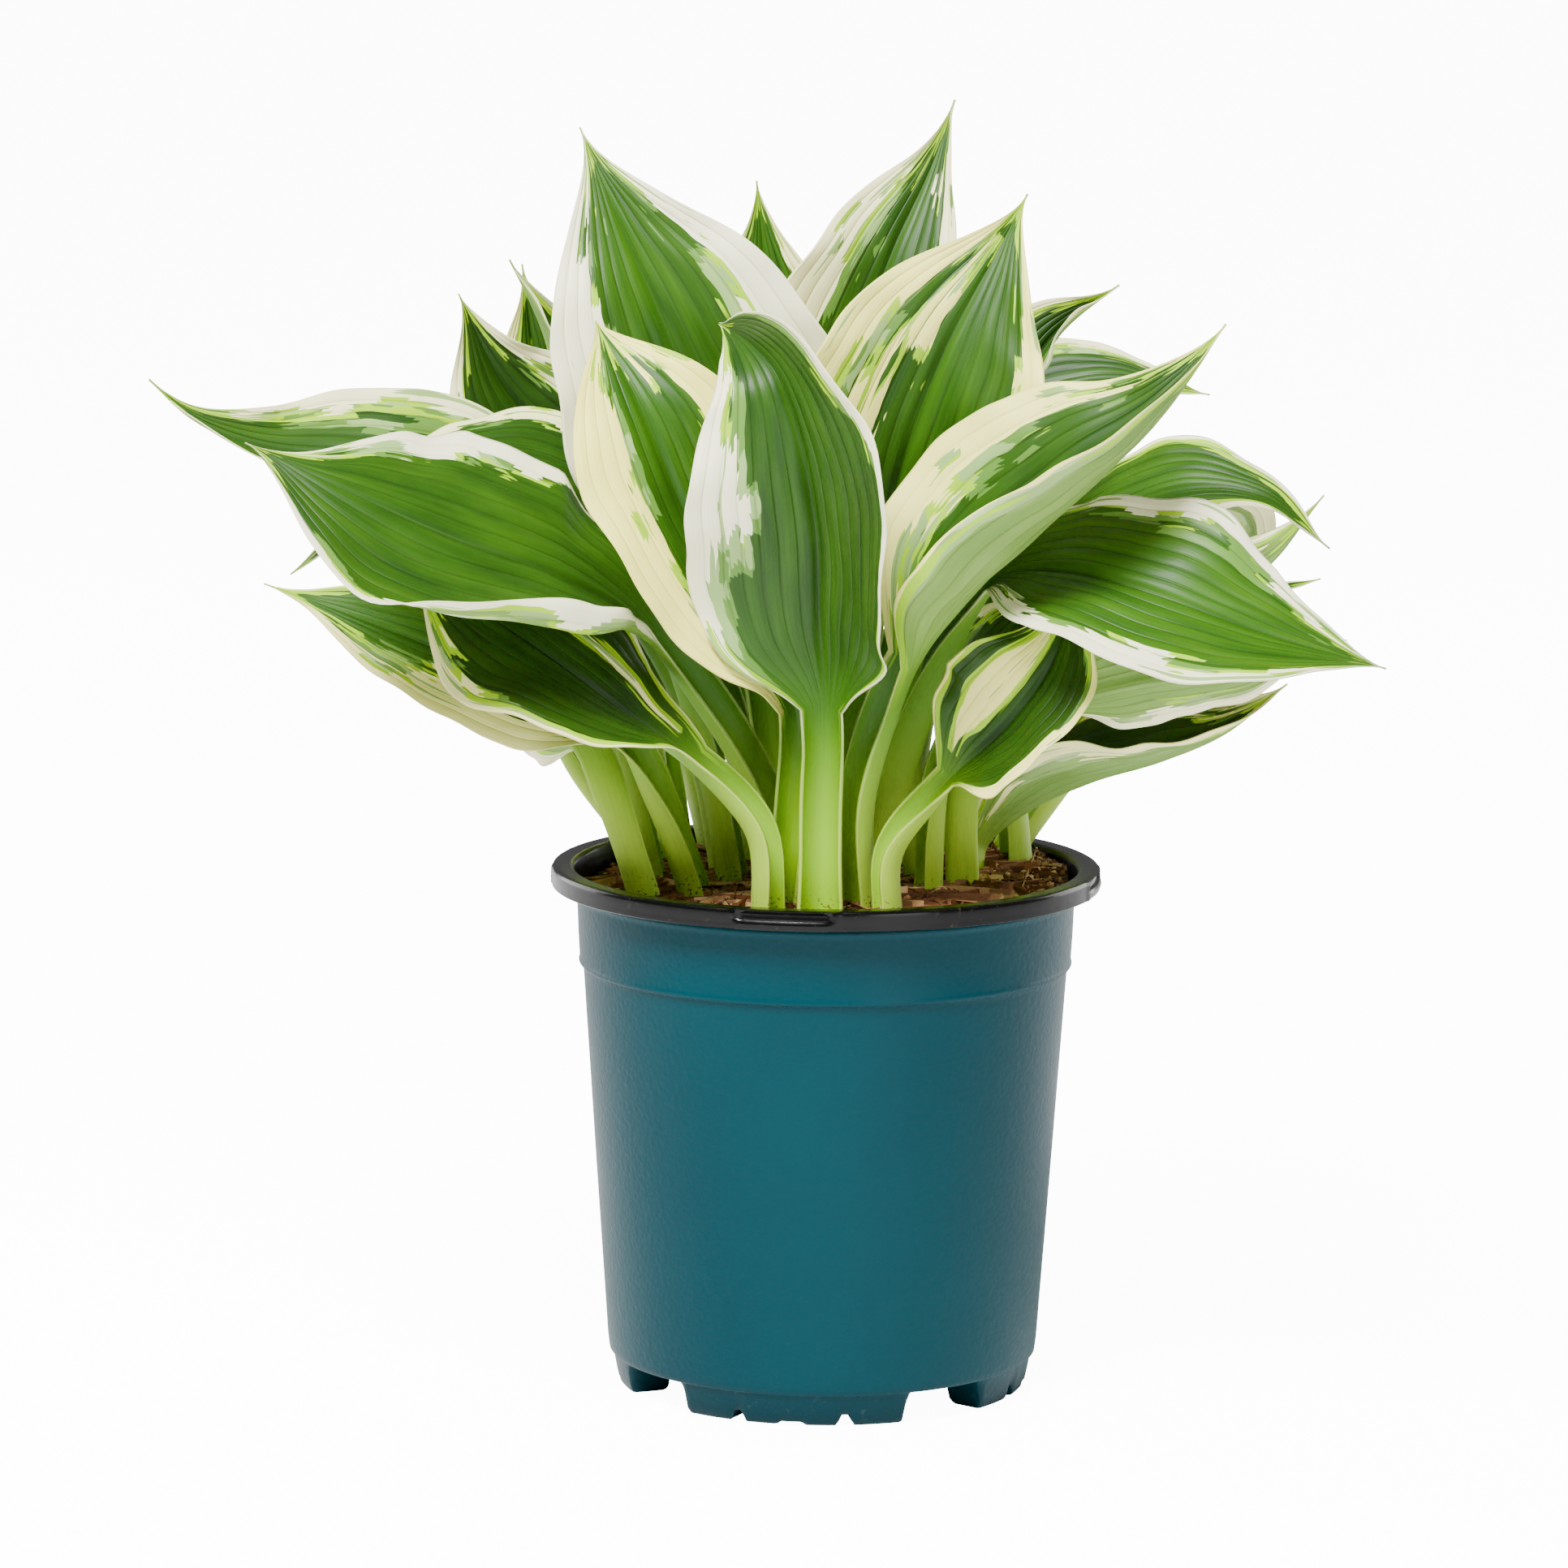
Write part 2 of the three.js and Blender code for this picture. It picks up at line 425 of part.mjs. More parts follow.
// the midrib's path from the stalk's foot to the tip
function midrib(leaf) {
  const soil = new THREE.Vector3(leaf.root[0], leaf.root[1], STALK_TOP);
  const next = new THREE.Vector3(...(leaf.stalk[0] ?? leaf.rib[0]));
  const lean = next.clone().sub(soil).normalize();
  const foot = new THREE.Vector3(
    soil.x - lean.x * FOOT_LEAN * STALK_SUNK,
    soil.y - lean.y * FOOT_LEAN * STALK_SUNK,
    soil.z - STALK_SUNK,
  );
  const free = [...leaf.stalk, ...leaf.rib].map((place) => new THREE.Vector3(...place));
  const points = [foot, soil, ...free];
  const curve = new THREE.CatmullRomCurve3(points, false, "centripetal");
  const steps = 40;
  curve.arcLengthDivisions = steps * (points.length - 1);
  const lengths = curve.getLengths();
  const total = lengths[lengths.length - 1];
  const neck = lengths[steps * (2 + leaf.stalk.length)];
  const at = (length) => curve.getPointAt(THREE.MathUtils.clamp(length / total, 0, 1));
  return { total, neck, at };
}

// half the blade's width at q, from 0 at its base to 1 at its tip
function halfWidth(q, leaf, stem) {
  if (q <= 0) return stem;
  const half = leaf.width / 2;
  if (q < leaf.broad) {
    const a = q / leaf.broad;
    const rise = (1 - (1 - a) ** 2) ** RISE_POWER * smooth(a, -0.3, 0.5);
    return stem + (half - stem) * rise;
  }
  const v = (q - leaf.broad) / (1 - leaf.broad);
  return Math.max(half * Math.max(1 - v * v, 0) ** (leaf.fall ?? FALL_POWER), TIP_HALF_WIDTH);
}

// how far an arc goes sideways and up, when it sets off at an angle and bends evenly
function arc(start, bend, length) {
  const end = start + bend * length;
  if (Math.abs(bend) < STRAIGHT) return { x: length * Math.cos(start), n: length * Math.sin(start), end };
  return { x: (Math.sin(end) - Math.sin(start)) / bend, n: (Math.cos(start) - Math.cos(end)) / bend, end };
}

// the section's sideways and upward reach at r, from 0 at the midrib to 1 at the edge
function sectionPoint(r, width, fold, edge, curl = 0) {
  const start = THREE.MathUtils.degToRad(fold);
  const bend = THREE.MathUtils.degToRad(edge) - start;
  const inner = arc(start, bend, Math.min(r, CURL_FROM));
  const more = THREE.MathUtils.degToRad(curl) / (1 - CURL_FROM);
  const outer = arc(inner.end, bend + more, Math.max(r - CURL_FROM, 0));
  return { x: width * (inner.x + outer.x), n: width * (inner.n + outer.n), angle: outer.end };
}

// the frame and the half width of the leaf at one station; u is 0 at the foot, 1 at the
// blade's base and 2 at the tip
function station(leaf, path, u) {
  const length = u < 1 ? path.neck * u : path.neck + (path.total - path.neck) * (u - 1);
  const q = Math.max(u - 1, 0);
  const place = path.at(length);
  const along = path.at(length + 0.6).sub(path.at(length - 0.6)).normalize();
  const open = smooth(u, ...TURNS);
  const up = direction(leaf.stalk_face).multiplyScalar(1 - open).addScaledVector(direction(leaf.face), open);
  up.addScaledVector(along, -up.dot(along)).normalize();
  const side = new THREE.Vector3().crossVectors(along, up);
  const stem = u < 1 ? leaf.stem * (1 + STALK_FLARE * (1 - smooth(u, 0, 0.5))) : leaf.stem;
  return { u, q, place, along, up, side, width: halfWidth(q, leaf, stem) };
}

// the upper and the lower point of the leaf at s, from -1 at the left edge to 1 at the right
function skinPoints(leaf, stop, s) {
  const { u, q, place, up, side, width } = stop;
  const half = s > 0 ? leaf.right : leaf.left;
  const sign = s < 0 ? -1 : 1;
  const r = Math.abs(s);
  const open = smooth(u, ...OPENS);
  const fold = THREE.MathUtils.lerp(STALK_FOLD, half[0] + (half[2] - half[0]) * q, open);
  const edge = THREE.MathUtils.lerp(STALK_EDGE, half[1] + (half[3] - half[1]) * q, open);
  const margin = leaf.curl ? leaf.curl[s > 0 ? 1 : 0] : 0;
  const curl = margin * open * (1 - smooth(q, ...CURL_ENDS));
  const { x, n, angle } = sectionPoint(r, width, fold, edge, curl);
  const normal = up.clone();
  if (r > 0) normal.multiplyScalar(Math.cos(angle)).addScaledVector(side, -sign * Math.sin(angle));
  const swell = smooth(q, 0.02, 0.2) * (1 - smooth(q, 0.8, 1));
  const phase = 2 * Math.PI * WAVES * q + (s > 0 ? WAVE_SHIFT : 0);
  const wave = leaf.wave * r * r * Math.sin(phase) * swell;
  const top = place.clone()
    .addScaledVector(side, sign * x)
    .addScaledVector(up, n)
    .addScaledVector(normal, wave);
  const base = smooth(u, ...THINS);
  const rib = STALK_RIB_THICKNESS * (1 - base) + MIDRIB_THICKNESS * base * (1 - smooth(q, 0.3, 1));
  let thickness = BLADE_THICKNESS + rib * (1 - r) ** 2;
  if (u < 1) thickness = MARGIN_THICKNESS + rib * (1 - r);
  if (q > PLAIN_TIP) thickness = BLADE_THICKNESS;
  const low = top.clone().addScaledVector(normal, -thickness);
  return { top, low };
}

// a closed skin from two grids of points, split into triangles alike on both faces
function skin(rows) {
  const columns = rows[0].length;
  const middle = (columns - 1) / 2;
  const positions = [];
  for (const layer of ["top", "low"]) {
    for (const row of rows) for (const point of row) positions.push(...point[layer].toArray());
  }
  const lower = rows.length * columns;
  const corners = [];
  const quad = (a, b, c, d, leftward) => {
    if (leftward) corners.push(a, b, c, a, c, d);
    else corners.push(a, b, d, b, c, d);
  };
  for (let i = 0; i + 1 < rows.length; i += 1) {
    for (let j = 0; j + 1 < columns; j += 1) {
      const a = i * columns + j;
      const d = a + columns;
      const leftward = j < middle;
      quad(a, a + 1, d + 1, d, leftward);
      if (leftward) corners.push(a + lower, d + 1 + lower, a + 1 + lower, a + lower, d + lower, d + 1 + lower);
      else corners.push(a + lower, d + lower, a + 1 + lower, a + 1 + lower, d + lower, d + 1 + lower);
    }
    const left = i * columns;
    const right = left + columns - 1;
    quad(left, left + columns, left + columns + lower, left + lower, true);
    quad(right, right + lower, right + columns + lower, right + columns, true);
  }
  const last = (rows.length - 1) * columns;
  for (let j = 0; j + 1 < columns; j += 1) {
    quad(j, j + lower, j + 1 + lower, j + 1, true);
    quad(last + j, last + j + 1, last + j + 1 + lower, last + j + lower, true);
  }
  const geometry = new THREE.BufferGeometry();
  geometry.setAttribute("position", new THREE.Float32BufferAttribute(positions, 3));
  geometry.setIndex(corners);
  return geometry;
}

function leafSolid(leaf) {
  const path = midrib(leaf);
  const stops = [...ALONG_STALK, ...ALONG_BLADE.map((q) => 1 + q)].map((u) => station(leaf, path, u));
  return toManifold(skin(stops.map((stop) => ACROSS.map((s) => skinPoints(leaf, stop, s)))));
}

// ---------------------------------------------------------------- soil

// the plain hole that a stalk stands in: a six-sided tube a little larger than the channel,
// through the same stations as the stalk
function stalkHole(leaf) {
  const path = midrib(leaf);
  const clear = ALONG_STALK.findIndex((u) => u * path.neck > HOLE_REACH);
  const stations = clear < 0 ? ALONG_STALK : ALONG_STALK.slice(0, clear + 1);
  const positions = [];
  for (const u of stations) {
    const stop = station(leaf, path, u);
    if (u === 0) stop.place.addScaledVector(stop.along, -HOLE_CLEARANCE);
    const edge = sectionPoint(1, stop.width, STALK_FOLD, STALK_EDGE);
    const x = edge.x + MARGIN_THICKNESS + HOLE_CLEARANCE;
    const top = edge.n + HOLE_CLEARANCE;
    const low = -STALK_THICKNESS - HOLE_CLEARANCE;
    const belly = 0.62 * x;
    const outline = [[-x, top], [-x, -0.8], [-belly, low], [belly, low], [x, -0.8], [x, top]];
    for (const [sideways, upwards] of outline) {
      const point = stop.place.clone();
      point.addScaledVector(stop.side, sideways).addScaledVector(stop.up, upwards);
      positions.push(...point.toArray());
    }
  }
  const around = 6;
  const last = (stations.length - 1) * around;
  const corners = [];
  for (let ring = 0; ring < last; ring += around) {
    for (let j = 0; j < around; j += 1) {
      const a = ring + j;
      const b = ring + (j + 1) % around;
      corners.push(a, b, b + around, a, b + around, a + around);
    }
  }
  for (let j = 1; j + 1 < around; j += 1) {
    corners.push(0, j + 1, j);
    corners.push(last, last + j, last + j + 1);
  }
  const geometry = new THREE.BufferGeometry();
  geometry.setAttribute("position", new THREE.Float32BufferAttribute(positions, 3));
  geometry.setIndex(corners);
  return toManifold(geometry);
}

function soilTop(x, y) {
  const reach = Math.hypot(x, y) / WALL_TOP_RADIUS;
  const lumps = Math.sin(x * 0.21 + 0.6) * Math.cos(y * 0.17 - 0.4) + 0.5 * Math.sin(x * 0.09 - y * 0.33);
  return SOIL_HEIGHT + SOIL_MOUND * (1 - reach * reach) + SOIL_TILT * (x / WALL_TOP_RADIUS) + SOIL_LUMP * lumps;
}

function soil() {
  const brim = SOIL_HEIGHT - SOIL_SIDE_SUNK;
  const profile = cavityProfile(SOIL_CLEARANCE, brim);
  const edgeRadius = profile[profile.length - 1][0];
  for (let ring = 1; ring <= SOIL_RINGS; ring += 1) {
    profile.push([edgeRadius * (1 - ring / SOIL_RINGS), brim + 1]);
  }
  profile.splice(profile.length - SOIL_RINGS, 0, [edgeRadius, brim + 1]);
  const geometry = turned(profile, SOIL_SIDES);
  const position = geometry.getAttribute("position");
  for (let i = 0; i < position.count; i += 1) {
    if (position.getZ(i) > brim + 0.5) {
      position.setZ(i, soilTop(position.getX(i), position.getY(i)));
    }
  }
  let body = toManifold(geometry);
  for (const leaf of LEAVES) body = body.subtract(stalkHole(leaf));
  return body;
}

// ---------------------------------------------------------------- the assembly

const potPlastic = { color: 0x1d6a74, roughness: 0.45, metalness: 0 };
const soilBrown = { color: 0x4a2f20, roughness: 0.95, metalness: 0 };
const leafGreen = { color: 0x4c8a34, roughness: 0.5, metalness: 0 };

function part(name, solid, look) {
  const mesh = new THREE.Mesh(toGeometry(solid), new THREE.MeshStandardMaterial(look));
  mesh.name = name;
  return mesh;
}

const group = new THREE.Group();
group.add(part("pot", pot(), potPlastic));
group.add(part("soil", soil(), soilBrown));
for (const leaf of LEAVES) group.add(part(`leaf_${leaf.name}`, leafSolid(leaf), leafGreen));
group.position.set(POT_AXIS[0], POT_AXIS[1], 0);

export default group;
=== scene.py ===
# %% [markdown]
# # A hosta in its nursery pot
#
# A hosta sends up a clump of long stalks, and each stalk opens into one heart-shaped blade.
# The stalk is a channel, like a length of gutter, and the blade is that same channel laid open.
# This lesson builds every leaf from one flat grid, bent by a formula, and then marks it with
# the ragged cream edge that the plant is grown for.  The pot is a single sheet of plastic,
# turned round an axis and then pushed into feet, and the soil is a crumbly mound of bits.

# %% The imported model, which every piece here is fitted to
import math
import random

import bmesh
import bpy
import numpy as np
from mathutils import Matrix, Vector, noise


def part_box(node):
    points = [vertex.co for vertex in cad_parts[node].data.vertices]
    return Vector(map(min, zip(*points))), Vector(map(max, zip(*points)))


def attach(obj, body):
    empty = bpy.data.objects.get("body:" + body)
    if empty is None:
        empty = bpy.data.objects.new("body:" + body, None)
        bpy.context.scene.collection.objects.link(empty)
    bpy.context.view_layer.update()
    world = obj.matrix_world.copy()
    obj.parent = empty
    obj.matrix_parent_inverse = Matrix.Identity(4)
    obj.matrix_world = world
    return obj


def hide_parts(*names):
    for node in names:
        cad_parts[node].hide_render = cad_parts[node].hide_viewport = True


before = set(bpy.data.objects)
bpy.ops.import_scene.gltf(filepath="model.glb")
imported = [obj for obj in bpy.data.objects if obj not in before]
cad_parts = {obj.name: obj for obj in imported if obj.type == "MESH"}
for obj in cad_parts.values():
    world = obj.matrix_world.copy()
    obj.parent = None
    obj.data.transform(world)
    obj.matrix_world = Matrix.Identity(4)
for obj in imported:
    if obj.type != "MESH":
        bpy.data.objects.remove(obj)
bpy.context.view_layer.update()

print("nodes in the frame:", len(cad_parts))

# %% [markdown]
# ## Where things stand
#
# The drawing of this plant is in millimetres, measured from the pot's axis at ground level.
# Blender works in metres, and the frame's origin is under the middle of the whole plant, so
# one small function carries a drawn point into the frame.  The axis itself is read from the
# packed pot, which is the same on all four sides.

# %% From the drawing to the frame
MM = 0.001

pot_low, pot_high = (Vector(corner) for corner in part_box("pot"))
pot_axis = (pot_low + pot_high) / 2
pot_axis.z = 0


def in_frame(points):
    """Millimetres from the pot's axis, as an array, to metres in the frame."""
    return np.asarray(points) * MM + np.array(pot_axis)


print("pot axis at", [round(value, 4) for value in pot_axis])

# %% [markdown]
# ## The camera
#
# The photograph was taken from the front, a little above the leaves, with a long lens, so
# the pot's sides look almost parallel.  The place and the lens were worked out from the
# pot's rings.  It comes first, so that every later piece can be judged from here.

# %% Camera
CAMERA_ASIDE = -12.6
CAMERA_AWAY = 2000
CAMERA_HEIGHT = 498
CAMERA_PITCH = 0.158
CAMERA_ROLL = 0.0075
IMAGE_WIDTH = 1932
FOCAL_PIXELS = 8455
SENSOR_WIDTH = 36

camera_data = bpy.data.cameras.new("camera")
camera_data.sensor_width = SENSOR_WIDTH
camera_data.lens = SENSOR_WIDTH * FOCAL_PIXELS / IMAGE_WIDTH
camera = bpy.data.objects.new("camera", camera_data)
place = in_frame([CAMERA_ASIDE, -CAMERA_AWAY, CAMERA_HEIGHT])
turn = Matrix.Rotation(math.pi / 2 - CAMERA_PITCH, 4, "X") @ Matrix.Rotation(CAMERA_ROLL, 4, "Z")
camera.matrix_world = Matrix.Translation(place) @ turn
bpy.context.collection.objects.link(camera)
bpy.context.scene.camera = camera
print("lens", round(camera_data.lens, 1), "mm")

# %% [markdown]
# ## A short way to write materials
#
# A material is a little network of nodes.  These helpers add a node, join its inputs and
# give back its output, so that a material below reads from top to bottom like a recipe.
# Colours are written as the eye sees them, 0 to 255, and turned into light values.


# %% Node helpers
def light_value(channel):
    """One 0 to 255 colour channel as an amount of light."""
    channel = channel / 255
    return channel / 12.92 if channel <= 0.04045 else ((channel + 0.055) / 1.055) ** 2.4


def colour(red, green, blue):
    return (light_value(red), light_value(green), light_value(blue), 1)


def add_node(tree, kind, inputs=None, **settings):
    """A new node: settings are its properties, inputs are values or other nodes' outputs."""
    node = tree.nodes.new(kind)
    for name, value in settings.items():
        setattr(node, name, value)
    for name, value in (inputs or {}).items():
        if isinstance(value, bpy.types.NodeSocket):
            tree.links.new(value, node.inputs[name])
        else:
            node.inputs[name].default_value = value
    return node


def reckon(tree, operation, first, second=0.0, third=0.0, clamp=False):
    """One sum on two or three numbers."""
    node = add_node(tree, "ShaderNodeMath", {0: first, 1: second, 2: third},
                    operation=operation, use_clamp=clamp)
    return node.outputs[0]


def scaled(tree, value, by, plus=0.0, clamp=False):
    """A number times another one, with a third added."""
    return reckon(tree, "MULTIPLY_ADD", value, by, plus, clamp)


def step_between(tree, value, low, high):
    """0 below low, 1 above high, and a soft step from one to the other."""
    node = add_node(tree, "ShaderNodeMapRange",
                    {"Value": value, "From Min": low, "From Max": high},
                    interpolation_type="SMOOTHSTEP")
    return node.outputs["Result"]


def blend(tree, amount, first, second, way="MIX"):
    """Two colours mixed: each is a node's output, or its red, green and blue."""
    first, second = (colour(*paint) if isinstance(paint, tuple) else paint
                     for paint in (first, second))
    node = add_node(tree, "ShaderNodeMix", {0: amount, 6: first, 7: second},
                    data_type="RGBA", blend_type=way)
    return node.outputs[2]


def grain(tree, vector, scale, detail=2.0, roughness=0.5):
    """Cloudy noise between 0 and 1."""
    node = add_node(tree, "ShaderNodeTexNoise",
                    {"Vector": vector, "Scale": scale, "Detail": detail, "Roughness": roughness})
    return node.outputs["Fac"]


def stretched(tree, vector, amounts, shift=(0, 0, 0)):
    """The same coordinates, stretched and shifted."""
    node = add_node(tree, "ShaderNodeMapping", {"Vector": vector, "Scale": amounts, "Location": shift})
    return node.outputs["Vector"]


def stored(tree, name, output="Fac"):
    """A value that the mesh itself carries, point by point."""
    return add_node(tree, "ShaderNodeAttribute", attribute_name=name).outputs[output]


def object_coordinates(tree):
    return add_node(tree, "ShaderNodeTexCoord").outputs["Object"]


def height_of(tree, place):
    return add_node(tree, "ShaderNodeSeparateXYZ", {"Vector": place}).outputs["Z"]


def new_material(name, inputs):
    """A material with its shader's plain values set, and its tree, ready for the varying ones."""
    material = bpy.data.materials.new(name)
    material.use_nodes = True
    tree = material.node_tree
    shader = tree.nodes["Principled BSDF"]
    for socket, value in inputs.items():
        shader.inputs[socket].default_value = value
    return material, tree, shader


def give_skin(tree, shader, paint, roughness, height, strength, distance):
    """The varying colour, roughness and relief, joined to the shader."""
    tree.links.new(paint, shader.inputs["Base Color"])
    tree.links.new(roughness, shader.inputs["Roughness"])
    bump = add_node(tree, "ShaderNodeBump",
                    {"Height": height, "Strength": strength, "Distance": distance})
    tree.links.new(bump.outputs["Normal"], shader.inputs["Normal"])


def new_group(name, inputs, outputs):
    """A node group, made once and used in several materials."""
    tree = bpy.data.node_groups.new(name, "ShaderNodeTree")
    for socket, kind in inputs.items():
        tree.interface.new_socket(socket, in_out="INPUT", socket_type=f"NodeSocket{kind}")
    for socket, kind in outputs.items():
        tree.interface.new_socket(socket, in_out="OUTPUT", socket_type=f"NodeSocket{kind}")
    source = tree.nodes.new("NodeGroupInput")
    sink = tree.nodes.new("NodeGroupOutput")
    return tree, source.outputs, sink.inputs


def use_group(tree, group, inputs):
    return add_node(tree, "ShaderNodeGroup", inputs, node_tree=group).outputs


# %% [markdown]
# Every finished mesh becomes an object in the same way: it is given its materials, linked to
# the scene, and rides on the one body of this model.


# %% Finishing a piece
def finish_piece(name, mesh, materials, replaced=()):
    """An object from a mesh whose points are already in the frame."""
    piece = bpy.data.objects.new(name, mesh)
    for material in materials:
        mesh.materials.append(material)
    bpy.context.collection.objects.link(piece)
    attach(piece, "root")
    for node in replaced:
        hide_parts(node)
    return piece


def mesh_from(shape, name):
    """A mesh from a bmesh, which is then let go."""
    mesh = bpy.data.meshes.new(name)
    shape.to_mesh(mesh)
    shape.free()
    return mesh


def smooth_step(value, low, high):
    """The same soft step as in the materials, on numbers or arrays."""
    part = np.clip((np.asarray(value, float) - low) / (high - low), 0, 1)
    return part * part * (3 - 2 * part)


# %% [markdown]
# ## The leaves, one by one
#
# Each row below is one leaf, in millimetres from the pot's axis.  "root" is where the stalk
# leaves the soil, "stalk" the points on its way up, and "rib" the midrib from the blade's
# base to its tip.  "face" and "stalk_face" say where the upper side looks, "width" is the
# blade laid flat, "stem" the stalk's half width, and "broad" how far along the blade is
# widest.  "left" and "right" are how many degrees each half is raised, beside the midrib and
# at the edge, first at the base and then at the tip.  "wave" is the height of the edge's
# wave, "fall" says how soon the blade narrows towards its tip, and "curl" how many degrees
# further the left and the right margin turn up near the base.  What a row doesn't say is as
# on the usual leaf.

